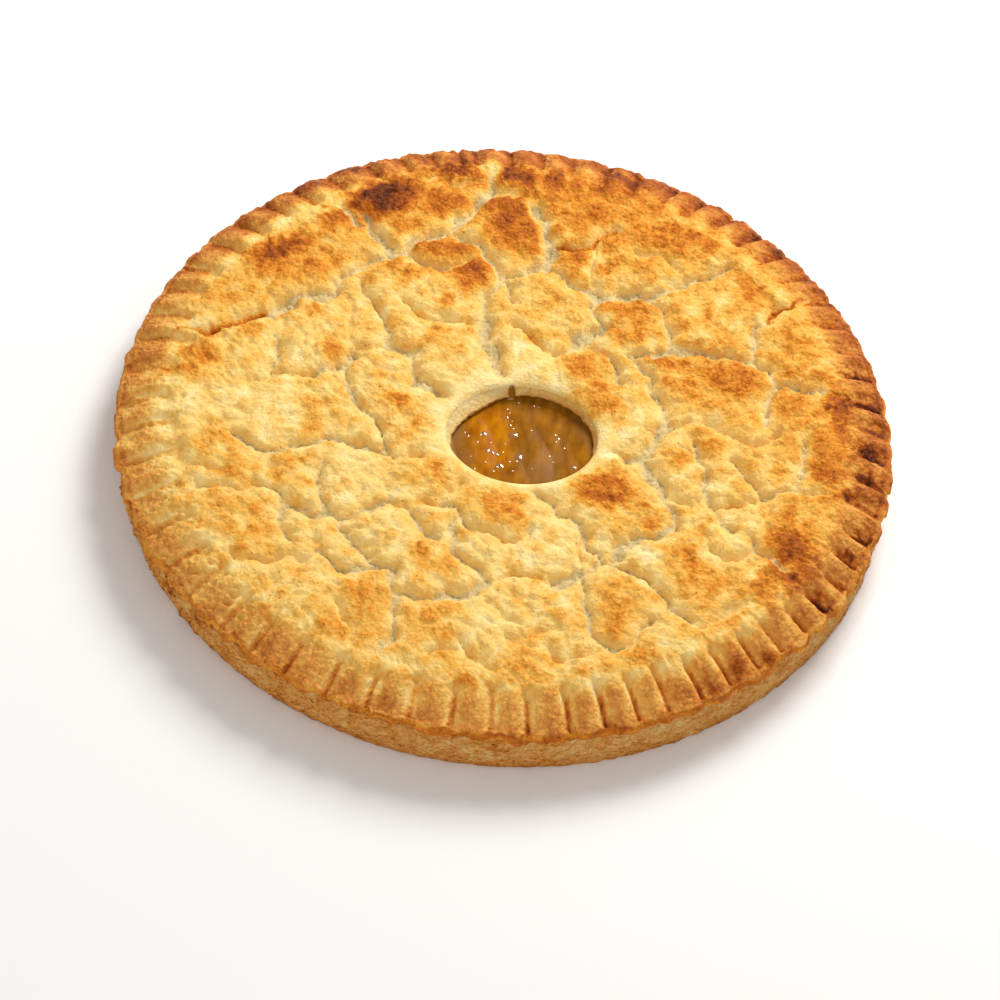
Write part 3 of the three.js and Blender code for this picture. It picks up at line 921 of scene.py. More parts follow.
# The rim's grooves, in order round the pie.
GROOVES: tuple[Groove, ...] = tuple(Groove(*row) for row in (
    # Left side, soft and slanting.
    (-176.5, 1.2, 102, 0.10), (-171.0, 1.4, 100, 0.10), (-164.5, 1.9, 99, 0.15),
    (-157.5, 1.7, 102, 0.10), (-151.0, 1.7, 103, 0.12), (-144.0, 1.9, 104, 0.18),
    (-138.5, 1.8, 104, 0.15), (-131.0, 2.1, 105, 0.20, 0.10), (-125.0, 2.3, 106, 0.26, 0.16),
    # Front, with round ribs between narrow grooves.
    (-119.0, 2.2, 106, 0.30, 0.16), (-112.3, 2.2, 105.5, 0.38, 0.16), (-106.1, 2.0, 106, 0.35, 0.16),
    (-99.9, 1.8, 104, 0.20, 0.16), (-93.8, 1.9, 105, 0.35, 0.16), (-88.1, 1.8, 104, 0.15, 0.16),
    (-82.8, 2.7, 105, 0.40, 0.16), (-76.8, 2.9, 104.5, 0.45, 0.16), (-71.6, 2.9, 104.5, 0.45, 0.16),
    (-66.6, 2.9, 104.5, 0.35, 0.16), (-62.0, 2.7, 104, 0.30, 0.1),
    # Right front, with the most burnt grooves.
    (-56.7, 2.7, 105, 0.30, 0.18), (-51.7, 2.9, 105, 0.35, 0.28), (-46.6, 2.7, 106, 0.30, 0.22),
    (-42.0, 2.3, 107, 0.20, 0.1), (-36.8, 2.3, 108, 0.35, 0.15), (-32.0, 2.8, 109, 0.65),
    (-27.2, 2.3, 110, 0.35), (-22.6, 2.3, 108, 0.50), (-17.6, 2.4, 109, 0.75), (-12.0, 1.6, 107, 0.50),
    (-6.8, 1.8, 108, 0.70), (-1.7, 1.9, 108, 0.75),
    # Right back.
    (3.8, 1.3, 108, 0.30), (8.9, 2.0, 107, 0.75), (15.2, 2.0, 107, 0.70), (20.5, 1.2, 106, 0.20),
    (26.3, 1.4, 106, 0.50), (32.0, 1.6, 106, 0.30), (38.0, 1.7, 105, 0.30), (43.8, 2.5, 104, 0.40),
    (49.2, 2.7, 104, 0.45), (54.8, 2.5, 104, 0.40),
    # Back.
    (60.2, 2.5, 103, 0.40), (65.2, 2.3, 104, 0.35), (71.4, 2.5, 102, 0.40), (76.5, 2.3, 103, 0.35),
    (82.5, 2.1, 104, 0.30), (87.6, 2.1, 105, 0.35), (93.0, 2.3, 105, 0.30), (98.9, 2.3, 106, 0.40),
    (101.6, 1.9, 106, 0.30), (106.0, 2.1, 106, 0.30), (111.0, 2.1, 106, 0.30), (116.6, 2.3, 106, 0.35),
    (123.5, 2.1, 105, 0.35), (129.6, 2.3, 104, 0.40), (135.3, 1.7, 105, 0.30), (141.2, 2.3, 104, 0.35),
    (147.2, 2.1, 104, 0.35), (153.8, 1.7, 104, 0.25), (159.0, 1.5, 104, 0.20), (165.0, 1.5, 103, 0.20),
    (170.2, 1.6, 99, 0.25), (177.0, 1.3, 102, 0.15),
))

# How pale the rim's inner edge is round the pie: angle in degrees and share.
RIM_PALE: tuple[Span, ...] = (
    (-180, 0.1), (-165, 0.15), (-150, 0.1), (-130, 0.0), (-55, 0.0), (-25, 0.15), (-12, 0.0), (12, 0.0),
    (18, 0.1), (30, 0.0), (50, 0.0), (65, 0.1), (78, 0.2), (84, 0.05), (95, 0.15), (100, 0.0),
    (115, 0.0), (122, 0.25), (128, 0.6), (150, 0.75), (158, 0.4), (170, 0.3), (180, 0.1),
)

# How brown the rim is round the pie: angle in degrees and browning.
RIM_TOAST: tuple[Span, ...] = (
    (-180, 0.43), (-150, 0.44), (-120, 0.43), (-90, 0.40), (-70, 0.415), (-50, 0.445), (-30, 0.46),
    (-15, 0.57), (0, 0.66), (20, 0.66), (45, 0.71), (70, 0.68), (100, 0.66), (120, 0.65), (140, 0.60),
    (165, 0.47), (180, 0.43),
)

# Where the rim's top ends round the pie: angle in degrees, radius, and how far the lip stands up there.
SHELF: tuple[tuple[float, float, float], ...] = (
    (-180, 118.6, 0.9), (-165, 118.9, 1.0), (-150, 118.2, 1.4), (-130, 117.8, 2.0), (-110, 117.9, 2.3),
    (-97, 118.1, 2.0), (-88, 118.3, 1.8), (-75, 118.6, 1.5), (-60, 118.9, 1.3), (-40, 119.0, 1.1),
    (-20, 119.0, 0.7), (0, 119.3, 0.4), (20, 119.0, 0.0), (45, 119.9, 0.0), (90, 120.0, 0.0),
    (130, 119.8, 0.0), (160, 119.2, 0.4), (180, 118.6, 0.9),
)
SHELF_RADIUS, SHELF_LIFT = 1, 2

# Riper, more orange areas of the fruit.
RIPE_AREAS: tuple[Patch, ...] = tuple(Patch(*row) for row in (
    (-4, -3, 13, 7, 97, 1.0), (-3, -13, 7, 6, 100, 1.0), (0, -15, 4, 4, 0, 0.9), (-5, -20, 6, 3, 0, 0.6),
    (5, -21, 4, 3, 0, 0.3), (14, 4, 5, 8, 110, 0.15), (21, -10, 4, 9, 100, 0.2),
))

# Painted sheen on the fruit: greyish reflections painted into its colour.
PAINTED_SHEEN_AREAS: tuple[Patch, ...] = tuple(Patch(*row) for row in (
    (-15, -8, 3, 8, 0, 0.5), (-12, -16, 4, 4, 0, 0.4), (12, -18, 6, 4.5, 20, 0.5), (6, -13, 2, 5, 0, 0.3),
    (15, -12, 4, 4, 0, 0.3), (24, 1, 4, 6, 0, 0.2),
))

# Slices of peach: node, middle, half length and width, turn in degrees and bow.
SLICES: tuple[tuple[str, float, float, float, float, float, float], ...] = (
    ("peach_slice_left", -7.7, -9.6, 18.0, 9.2, 104.0, 0.8),
    ("peach_slice_middle", 9.3, -11.8, 19.0, 6.9, 107.0, -0.8),
    ("peach_slice_right", 24.0, -6.6, 18.0, 6.6, 110.0, -1.6),
)

# Drops of syrup: middle and radius.
DROPS: tuple[tuple[float, float, float], ...] = (
    (3.4, 9.5, 0.6), (0.2, 6.2, 0.55), (1.1, 4.8, 0.4), (0.5, 3.0, 0.6), (1.9, 1.6, 0.45),
    (1.6, -0.1, 0.65), (2.4, -1.6, 0.55), (2.8, -4.1, 1.6), (3.9, -4.6, 0.8), (5.2, -12.8, 1.7),
    (4.4, -14.4, 0.7), (2.3, -14.8, 0.55), (-4.6, -11.8, 0.9), (-3.0, -12.0, 0.75), (-1.8, -12.3, 0.8),
    (0.1, -11.4, 0.5), (-0.3, -16.7, 1.1), (-1.4, -17.3, 0.7), (-6.2, -5.0, 1.0), (-7.2, -5.6, 0.5),
    (-12.2, -5.1, 0.6), (-10.9, -6.5, 0.55), (-12.5, -13.2, 0.45), (-9.6, -14.6, 0.4),
    (-8.1, -19.0, 0.55), (-7.9, -8.6, 0.5), (8.2, -1.8, 0.4), (15.6, -2.5, 0.6), (16.6, -3.8, 0.65),
    (16.0, -5.2, 0.45), (18.7, -7.4, 0.5), (14.3, -11.5, 0.55), (15.4, -13.4, 0.5), (21.9, -14.8, 0.9),
    (8.4, 8.5, 0.6), (9.6, 8.2, 0.4), (3.6, -18.4, 0.45), (9.4, -17.2, 0.4), (-2.3, -19.1, 0.5),
    (-5.0, -16.2, 0.5), (-3.9, -8.2, 0.4), (0.4, -7.9, 0.4),
)


@dataclass(frozen=True)
class Vent:
    """The oval hole through the lid, whose wall leans in most at the back left."""

    x: float = 5.5
    y: float = -7.3
    half_width: float = 23.2
    half_depth: float = 19.6
    edge_roll: float = 1.7
    roll_reach: float = 1.6
    lean_least: float = 0.9
    lean_more: float = 2.8
    lean_angle: float = math.radians(145.0)
    lean_spread: float = 0.6
    lean_power: float = 1.4
    fewest_points: int = 24

    def lean(self, angle: Array | float, share: float) -> Array:
        """How far the wall leans in at a share of the way down."""
        spread = bell(turned_back(angle - self.lean_angle), 0.0, self.lean_spread)
        return (self.lean_least + self.lean_more * spread) * share ** self.lean_power

    def outside(self, x: Array, y: Array) -> Array:
        """Distance outside the vent's edge, along the oval's mean radius."""
        oval = np.hypot((x - self.x) / self.half_width, (y - self.y) / self.half_depth)
        return (oval - 1.0) * (self.half_width + self.half_depth) / 2.0

    def loop(self, share: float, rim: float, spacing: float) -> tuple[Array, Array]:
        """Draws an oval loop between the vent's edge and the rim's circle.

        Args:
            share: 0 at the vent's edge, 1 at the rim's circle.
            rim: Radius of the rim's circle.
            spacing: Distance between points.

        Returns:
            The points' x and y.
        """
        half_width = self.half_width + (rim - self.half_width) * share
        half_depth = self.half_depth + (rim - self.half_depth) * share
        angle = even_angles(max(self.fewest_points, round(math.pi * (half_width + half_depth) / spacing)))
        x = self.x * (1.0 - share) + half_width * np.cos(angle)
        y = self.y * (1.0 - share) + half_depth * np.sin(angle)
        return x, y


@dataclass
class Plateau:
    """The lid's split top: where it has cracked, how high its plates stand and how brown they are."""

    height: float = 22.0
    rim_start: float = 100.0
    sag: float = 1.4
    sag_reach: float = 45.0
    # Plates: a notch, a steep step and a long roll lead up from a crack's floor.
    pillow: float = 3.7
    pillow_level: float = 0.2
    notch: float = 0.6
    notch_share: float = 0.16
    edge_reaches: Span = (2.8, 7.5)
    edge_share: float = 0.42
    # Cracks.
    wander: float = 0.5
    fray: float = 0.22
    floor_shift: float = 0.9
    floor_reach: float = 0.6
    gape_swing: float = 0.35
    depth_mean: float = 0.95
    depth_swing: float = 0.16
    depth_limits: Span = (0.6, 1.1)
    behind_soft: float = 0.3
    clear_reach: float = 3.2
    clear_shift: float = 2.6
    # Heights of the lobes, lumps and pits on the plates, and of the crumbs in the cracks.
    lobe: float = 0.66
    lobe_cut: float = 1.4
    lump: float = 0.4
    lump_cut: float = 1.5
    swell: float = 0.12
    drift: float = 0.25
    pit: float = 0.12
    crumb: float = 0.4
    # Browning, with a painted shadow line along the shadowed cracks.
    edge_bake: float = 0.17
    shadow_line_bake: float = 0.6
    back_bake: float = 0.03
    back: Span = (45.0, 75.0)
    lobe_bake: float = 0.05
    lump_bake: float = 0.03
    pit_bake: float = 0.02
    spine_reach: float = 3.0
    scorch_lumps: float = 0.9
    scorch_fray: float = 0.7
    scorch_shift: float = 40.0
    scorch_power: float = 1.12
    scorch_edge: float = 1.4
    scorch_in_crack: float = 0.45
    # How the mesh's points gather at the cracks.
    draw_reach: float = 3.0
    draw_least: float = 0.25
    draw_step: float = 0.2
    least_slope: float = 0.5

    @cached_property
    def hills(self) -> dict[str, Hills]:
        """Seeded hills for the crack lines, the lumps and the browning.

        Returns:
            The hills by name.
        """
        return Hills.several(
            11, drift=26.0, wander_x=10.0, wander_y=10.0, fray_x=3.6, fray_y=3.6, gape=14.0,
            swell=11.0, lump=4.6, pit=2.1, blush=9.0, edge=3.4, lobe=9.0, crumb=1.4,
        )

    def frayed(self, x: Array, y: Array) -> tuple[Array, Array]:
        """Moves places about, so that lines drawn on them wander and fray.

        Args:
            x: Places across the pie.
            y: Places along the pie.

        Returns:
            The moved x and y.
        """
        hills = self.hills
        across = x + self.wander * hills["wander_x"].at(x, y) + self.fray * hills["fray_x"].at(x, y)
        along = y + self.wander * hills["wander_y"].at(x, y) + self.fray * hills["fray_y"].at(x, y)
        return across, along

    def nearest_crack(self, kind: Split, x: Array, y: Array) -> tuple[Array, Array]:
        """Finds the nearest crack of one kind.

        The paths were read off at the plates' height. The floors lie lower, so they are further back.

        Args:
            kind: How the crack has opened.
            x: Places across the pie.
            y: Places along the pie.

        Returns:
            Distance to the crack, and how squarely each place lies behind it, from -1 to 1.
        """
        nearest = np.full(x.shape, np.inf)
        behind = np.zeros(x.shape)
        for row in CRACKS[kind]:
            path = list(zip(row[::2], row[1::2]))
            for start, end in zip(path, path[1:]):
                off_x, off_y = off_segment(x, y - self.floor_shift, start, end)
                distance = np.hypot(off_x, off_y)
                behind = np.where(distance < nearest, off_y / (distance + self.behind_soft), behind)
                nearest = np.minimum(nearest, distance)
        return nearest, behind

    def beside_crack(self, x: Array, y: Array) -> Array:
        """Finds how far the nearest open crack is.

        Args:
            x: Places across the pie.
            y: Places along the pie.

        Returns:
            Distance from its floor.
        """
        across, along = self.frayed(x, y)
        opened = (Split.HAIR, Split.SEAM, Split.GAPE, Split.DARK)
        beside = [self.nearest_crack(kind, across, along)[0] - kind.value[0] for kind in opened]
        return np.maximum(0.0, np.minimum.reduce(beside))

    def drawn_to_cracks(self, x: Array, y: Array, share: Array) -> tuple[Array, Array]:
        """Moves points towards the nearest crack, so that its steep edges get the finest triangles.

        Args:
            x: Places across the pie.
            y: Places along the pie.
            share: How much of the move each point makes.

        Returns:
            The moved x and y.
        """
        step = self.draw_step
        beside = self.beside_crack(x, y)
        slope_x = (self.beside_crack(x + step, y) - beside) / step
        slope_y = (self.beside_crack(x, y + step) - beside) / step
        length = np.maximum(np.hypot(slope_x, slope_y), self.least_slope)
        reach = np.minimum(beside / self.draw_reach, 1.0)
        move = share * beside * (1.0 - self.draw_least) * (1.0 - np.sqrt(reach))
        return x - move * slope_x / length, y - move * slope_y / length

    def plate_bake(self, x: Array, y: Array) -> Array:
        """Blends the plates' browning between their spines.

        Args:
            x: Places across the pie.
            y: Places along the pie.

        Returns:
            Browning at each place.
        """
        total = np.zeros(x.shape)
        weights = np.zeros(x.shape)
        for bake, rows in PLATES.items():
            for row in rows:
                off_x, off_y = off_segment(x, y, row[:2], row[2:])
                weight = 1.0 / (off_x ** 2 + off_y ** 2 + self.spine_reach ** 2) ** 2
                total += weight * bake.value
                weights += weight
        return total / weights

    def relief(self, x: Array, y: Array) -> tuple[Array, Array, Array, Array]:
        """Works out the plates' relief.

        Args:
            x: Places across the pie.
            y: Places along the pie.

        Returns:
            Height over the plateau, how much of a crack's floor shows, the plates' browning with the
            painted shadow line of the shadowed cracks, and how far from a crack each place is, from 0 to 1.
        """
        hills = self.hills
        across, along = self.frayed(x, y)
        sink = np.zeros(x.shape)
        floor = np.zeros(x.shape)
        clear = np.ones(x.shape)
        shadow_line = np.zeros(x.shape)
        uneven = np.clip(self.depth_mean + self.depth_swing * hills["blush"].at(y, x), *self.depth_limits)
        for kind in Split:
            gape, depth = kind.value
            distance, behind = self.nearest_crack(kind, across, along)
            inside = np.maximum(0.0, distance - gape * (1.0 + self.gape_swing * hills["gape"].at(x, y)))
            rise = self.notch_share * np.minimum(inside / self.notch, 1.0)
            for reach in self.edge_reaches:
                rise += self.edge_share * np.sin(0.5 * math.pi * np.minimum(inside / reach, 1.0))
            sink = np.maximum(sink, depth * uneven * (1.0 - rise))
            if kind is not Split.FOLD:
                reach = self.clear_reach + self.clear_shift * behind
                clear = np.minimum(clear, smooth_between(0.0, 1.0, inside / reach))
            if kind in (Split.SEAM, Split.GAPE):
                floor = np.maximum(floor, depth * (1.0 - smooth_between(0.0, self.floor_reach, inside)))
            # Painted shadow: a dark brown line is painted along the shadowed cracks.
            if kind is Split.DARK:
                shadow_line = 1.0 - smooth_between(0.0, 1.0, inside)
        lobes = hills["lobe"].lobes(x, y, self.lobe_cut)
        lumps = hills["lump"].lobes(x, y, self.lump_cut)
        pits = hills["pit"].at(x, y)
        height = self.pillow * (self.pillow_level - sink)
        height += (self.lobe * lobes + self.lump * lumps) * (1.0 - sink)
        height += self.swell * hills["swell"].at(x, y) + self.drift * hills["drift"].at(x, y)
        height += self.pit * pits + self.crumb * floor * hills["crumb"].at(x, y)
        bake = self.plate_bake(across, along) + self.back_bake * smooth_between(*self.back, y)
        bake = self.edge_bake + (bake - self.edge_bake) * clear
        bake += (self.lobe_bake * lobes + self.lump_bake * lumps + self.pit_bake * pits) * clear
        return height, floor, np.maximum(bake, self.shadow_line_bake * shadow_line), clear

    def scorched(self, x: Array, y: Array, bake: Array, clear: Array) -> Array:
        """Adds the browned patches.

        Args:
            x: Places across the pie.
            y: Places along the pie.
            bake: Browning before the patches.
            clear: How far from a crack each place is, from 0 to 1.

        Returns:
            Browning with the patches.
        """
        lumps, fine, shift = self.hills["lump"], self.hills["edge"], self.scorch_shift
        across = x + self.scorch_lumps * lumps.at(x + shift, y) + self.scorch_fray * fine.at(x, y)
        along = y + self.scorch_lumps * lumps.at(x, y + shift) + self.scorch_fray * fine.at(y, x)
        taken = self.scorch_in_crack + (1.0 - self.scorch_in_crack) * clear
        pale = 1.0 - bake
        for patch in SCORCHES:
            strength = patch.strength ** self.scorch_power * taken
            pale = pale * (1.0 - strength * np.exp(-(patch.square_off(across, along) ** self.scorch_edge)))
        return 1.0 - pale


@dataclass
class Crimps:
    """The finger-pressed rim: round ribs between uneven grooves, above a thin lip."""

    ridge_start: float = 101.8
    ridge_full: float = 107.0
    ridge_end: float = 116.4
    lip_start: float = 117.8
    ridge_lift: float = 0.9
    lip_drop: float = 0.5
    lip_fade: float = 0.75
    arch: Band = Band(2.4, 0.0, 2.0)
    # Section across a rib, and how a groove begins.
    crest: float = 0.66
    press: float = 1.45
    quarter_share: float = 0.2
    barrel_power: float = 1.45
    hard_depths: Span = (1.4, 2.1)
    dip_start: Span = (-1.0, 1.8)
    # Where the grooves are burnt and darkened with painted shade, at the back beside them, and what stays
    # pale.
    burn_and_shade_start: Span = (1.0, 4.0)
    burn_and_shade_place: Span = (0.2, 0.8)
    back_burn_and_shade_place: Span = (1.2, 1.8)
    back: Span = (1.75, 1.05)
    rib_top: Span = (0.42, 0.22)
    pale_flank: Band = Band(0.26, 1.3, 0.7)
    pale_foot: Band = Band(0.12, 1.8, 0.8)
    pale_end: Band = Band(0.15, 0.4, 0.3)
    # How much closer the mesh's points lie in the grooves.
    crowding: Band = Band(1.6, 0.0, 1.2)
    crowd_steps: int = 20

    @staticmethod
    def lip_lift(angle: Array) -> Array:
        """How far the lip stands up at each angle."""
        return read_round(SHELF, turned_back(angle), SHELF_LIFT)

    @staticmethod
    def between(angle: Array) -> tuple[Array, Array, Array]:
        """Finds the grooves on both sides of each angle.

        Args:
            angle: Angles round the pie.

        Returns:
            Index of the groove on the clockwise side, the share of the way from it to the next, and
            the angle between both.
        """
        places = np.radians([groove.angle for groove in GROOVES])
        turned = turned_back(angle)
        before = np.searchsorted(places, turned, side="right") - 1
        gap = (places[(before + 1) % len(places)] - places[before]) % FULL_TURN
        return before, ((turned - places[before]) % FULL_TURN) / gap, gap

    def crowded_angles(self, count: int) -> Array:
        """Angles round the rim that lie closer together in the grooves.

        Args:
            count: Number of angles.

        Returns:
            The angles, from 0 to a full turn.
        """
        steps = self.crowd_steps * count
        fine = np.arange(steps + 1) * FULL_TURN / steps
        _, share, gap = self.between(fine)
        beside = np.minimum(share, 1.0 - share) * gap * self.ridge_end
        crowd = np.cumsum(1.0 + self.crowding.at(beside))
        return np.interp(np.arange(count) / count, (crowd - crowd[0]) / (crowd[-1] - crowd[0]), fine)

    def on_ridge(self, radius: Array, beside: Array) -> Array:
        """Share of the ribs' height, which begins further out in the grooves and so arches the ribs."""
        return smooth_between(self.ridge_start, self.ridge_full, radius - self.arch.at(beside))

    def on_lip(self, radius: Array) -> Array:
        """Share of the way from the ribs' outer ends to the lip."""
        return smooth_between(self.ridge_end, self.lip_start, radius)

    def pressed(self, radius: Array, angle: Array) -> Array:
        """Works out the height of the pressed rim over the lid's round edge.

        Args:
            radius: Distance from the pie's middle.
            angle: Angle round the pie.

        Returns:
            Height at each place.
        """
        before, share, gap = self.between(angle)
        rising = share < self.crest
        nearest = np.where(rising, before, (before + 1) % len(GROOVES))
        climbed = np.where(rising, share / self.crest, (1.0 - share) / (1.0 - self.crest))
        depth = np.array([groove.depth for groove in GROOVES])[nearest]
        start = np.array([groove.start for groove in GROOVES])[nearest]
        # Deep grooves leave round barrels between them, shallow ones only soft folds.
        quarter = 1.0 - np.sqrt(1.0 - (1.0 - climbed) ** 2)
        barrel = self.quarter_share * quarter
        barrel += (1.0 - self.quarter_share) * (1.0 - climbed) ** self.barrel_power
        fold = 0.5 + 0.5 * np.cos(math.pi * climbed)
        hard = smooth_between(*self.hard_depths, depth)
        dip = self.press * depth * (hard * barrel + (1.0 - hard) * fold)
        dip *= smooth_between(*self.dip_start, radius - start)
        on_lip = self.on_lip(radius)
        height = self.ridge_lift * self.on_ridge(radius, np.minimum(share, 1.0 - share) * gap * radius)
        height = height - (self.ridge_lift + self.lip_drop - self.lip_lift(angle)) * on_lip
        return height - dip * (1.0 - self.lip_fade * on_lip)

    def burnt_and_shaded(self, radius: Array, angle: Array) -> Array:
        """Works out what the crimps add to the rim's browning, with painted shade in the grooves.

        Args:
            radius: Distance from the pie's middle.
            angle: Angle round the pie.

        Returns:
            Burn and painted shade at each place, below zero where a flank stays pale.
        """
        before, share, gap = self.between(angle)
        after = (before + 1) % len(GROOVES)
        rows = [(groove.burn_and_shade, groove.brown, groove.start) for groove in GROOVES]
        burns_and_shades, browns, starts = np.array(rows).T
        off_before, off_after = share * gap * radius, (1.0 - share) * gap * radius
        at_back = np.abs(angle - self.back[0]) < self.back[1]
        middle, width = (
            np.where(at_back, back, usual) for back, usual in zip(self.back_burn_and_shade_place, self.burn_and_shade_place)
        )
        # Painted shade: the grooves, and at the back the hollows beside them, are darkened as well as
        # burnt.
        burn_and_shade = np.maximum(
            burns_and_shades[before] * bell(off_before, middle, width),
            burns_and_shades[after] * bell(off_after, -middle, width),
        )
        burn_and_shade = np.maximum(burn_and_shade, browns[before] * bell(share, *self.rib_top))
        burn_and_shade = burn_and_shade - self.pale_flank.at(off_after) - self.pale_foot.at(off_before)
        start = starts[np.where(share < self.crest, before, after)]
        burn_and_shade = burn_and_shade * smooth_between(*self.burn_and_shade_start, radius - start)
        on_ridge = self.on_ridge(radius, np.minimum(off_before, off_after))
        return (burn_and_shade - self.pale_end.at(on_ridge)) * (1.0 - self.on_lip(radius))


@dataclass
class Lid:
    """The top crust: split plateau, crimped rim, torn lip and vent."""

    vent: Vent
    plateau: Plateau
    crimps: Crimps
    radius: float = 120.0
    lip_top: float = 14.6
    rim_curve: float = 1.6
    underside: float = 15.6
    seat: float = 11.3
    seat_outer: float = 116.0
    seat_inner: float = 105.0
    ramp_end: float = 98.0
    # Upper surface: where the plates' relief fades, and the strands and blisters of the rim's skin.
    relief_fade: Span = (97.0, 105.0)
    vent_fade: Span = (0.5, 7.0)
    rim_skin: Span = (99.5, 106.0)
    strand: float = 0.22
    strand_stretch: float = 0.22
    blister: float = 0.16
    broken: Band = Band(1.2, -2.45, 0.45)
    crinkle: float = 0.3
    crinkle_cut: float = 1.2
    crinkle_start: Span = (94.0, 98.0)
    crinkle_end: Span = (106.0, 112.0)
    # Browning of the rim with painted shade in its grooves and at the lip, and of the vent's edge.
    rim_toast: Span = (101.5, 116.5)
    toast_swing: float = 0.03
    burn_and_shade_swing: float = 0.25
    burn_and_shade_gain: float = 1.05
    lip_front: Span = (-1.25, 0.5)
    lip_shade: float = 0.12
    lip_shade_span: Span = (116.6, 117.8)
    lip_shade_line: float = 0.15
    lip_shade_line_front: float = 0.1
    lip_shade_line_place: Span = (117.2, 0.6)
    pale_bake: float = 0.1
    pale_start: Span = (95.0, 99.0)
    pale_end: Span = (105.0, 110.0)
    vent_bake: float = 0.35
    vent_bake_reach: float = 10.0
    blush: float = 0.05
    split_shown: float = 0.85
    dull: float = 0.13
    dull_span: Span = (102.0, 111.0)
    dull_bakes: Span = (0.45, 0.75)
    # Torn lip: steps out and down from the shelf, its tears, and its browning.
    lip_face: tuple[Span, ...] = ((0.25, 0.3), (0.6, 1.0), (0.85, 1.8), (0.7, 2.6), (0.1, 3.0))
    tear: float = 0.4
    nick: float = 0.05
    notch: float = 0.32
    notch_radius: float = 113.0
    thick_swing: float = 0.3
    face_bake: float = 0.52
    face_swing: float = 0.06
    face_front: float = 0.1
    # Vent's wall: its ripples, its stains, its darkening towards the foot, and painted shade on the side
    # that lies in shade.
    ripple: float = 0.1
    wall_stretch: float = 2.0
    wall_stain: float = 0.06
    stain_swing: float = 0.05
    stain_strip: float = 9.0
    foot_darkening: float = 0.4
    shade_angle: float = 0.6
    shade_darkening: float = 0.22
    wall_split: float = 0.5
    shade_split: float = 0.25
    # Mesh.
    spacing: float = 0.77
    rim_points: int = 1250
    rim_loops: int = 25
    crowd_loops: float = 6.0
    wall_loops: int = 7
    under_points: int = 264
    under_spacing: float = 4.0
    under_share: float = 0.4
    under_bake: float = 0.3
    inner_bake: float = 0.2

    @cached_property
    def hills(self) -> dict[str, Hills]:
        """Seeded hills for the rim's strands, the lip's tears and the browning."""
        return Hills.several(41, strand=3.2, tear=9.0, nick=3.0, toast=14.0, blister=2.4, wall=7.0)

    def shelf(self, angle: Array) -> Array:
        """Works out where the rim's top ends and its torn lip turns down.

        Args:
            angle: Angles round the pie.

        Returns:
            Radius at each angle.
        """
        length = Hills.length_round(angle, RIM_REPEATS)
        tear = self.tear * self.hills["tear"].at(length, 7.0)
        tear = tear + self.nick * self.hills["nick"].at(length, 3.0)
        pressed = self.crimps.pressed(np.full(angle.shape, self.notch_radius), angle)
        notch = self.notch * (self.crimps.ridge_lift - pressed)
        return read_round(SHELF, angle, SHELF_RADIUS) + tear - notch

    def strands(self, radius: Array, angle: Array) -> Array:
        """Strands of dough that run round the rim."""
        length = Hills.length_round(angle, RIM_REPEATS)
        return self.hills["strand"].at(length, radius * self.strand_stretch)

    def top(self, x: Array, y: Array) -> tuple[Array, dict[str, Array]]:
        """Works out the upper surface.

        Args:
            x: Places across the pie.
            y: Places along the pie.

        Returns:
            Height of the surface and its browning and split marks.
        """
        radius, angle, plateau = np.hypot(x, y), np.arctan2(y, x), self.plateau
        outside = np.maximum(0.0, self.vent.outside(x, y))
        relief, split, bake, clear = plateau.relief(x, y)
        shown = (1.0 - smooth_between(*self.relief_fade, radius)) * smooth_between(*self.vent_fade, outside)
        fall = np.maximum(0.0, (radius - plateau.rim_start) / (self.radius - plateau.rim_start))
        height = plateau.height - plateau.sag * bell(outside, 0.0, plateau.sag_reach)
        height -= (plateau.height - self.lip_top) * fall ** self.rim_curve
        height += relief * shown + self.crimps.pressed(radius, angle)
        # The dough is most broken up at the front left, and crinkled where the rim begins.
        skin = self.strand * self.strands(radius, angle) + self.blister * self.hills["blister"].at(x, y)
        height += smooth_between(*self.rim_skin, radius) * (1.0 + self.broken.at(angle)) * skin
        crinkled = smooth_between(*self.crinkle_start, radius)
        crinkled *= 1.0 - smooth_between(*self.crinkle_end, radius)
        height += self.crinkle * crinkled * plateau.hills["edge"].lobes(x, y, self.crinkle_cut)
        height -= self.vent.edge_roll * np.exp(-outside / self.vent.roll_reach)
        bake = self.browned(x, y, bake, clear)
        # The rim's pale dough is duller than the plates'.
        dull = self.dull * smooth_between(*self.dull_span, radius)
        dull *= 1.0 - smooth_between(*self.dull_bakes, bake)
        return height, {"bake": bake, "split": np.maximum(self.split_shown * split * shown, dull)}

    def browned(self, x: Array, y: Array, bake: Array, clear: Array) -> Array:
        """Adds the rim's browning and painted shade, the vent's pale edge and the browned patches.

        Args:
            x: Places across the pie.
            y: Places along the pie.
            bake: Browning of the plates.
            clear: How far from a crack each place is, from 0 to 1.

        Returns:
            Browning of the upper surface.
        """
        radius, angle = np.hypot(x, y), np.arctan2(y, x)
        on_rim = smooth_between(*self.rim_skin, radius)
        toast = read_round(RIM_TOAST, angle)
        toast = toast + self.toast_swing * (self.hills["toast"].at(x, y) + self.strands(radius, angle))
        bake = bake + (toast - bake) * smooth_between(*self.rim_toast, radius)
        # The crimps' darkening is partly real burn and partly painted shade in the grooves.
        burn_and_shade = self.crimps.burnt_and_shaded(radius, angle) * (1.0 + self.burn_and_shade_swing * self.hills["blister"].at(x, y))
        bake += (1.0 - toast) * self.burn_and_shade_gain * burn_and_shade * on_rim
        front = bell(angle, *self.lip_front)
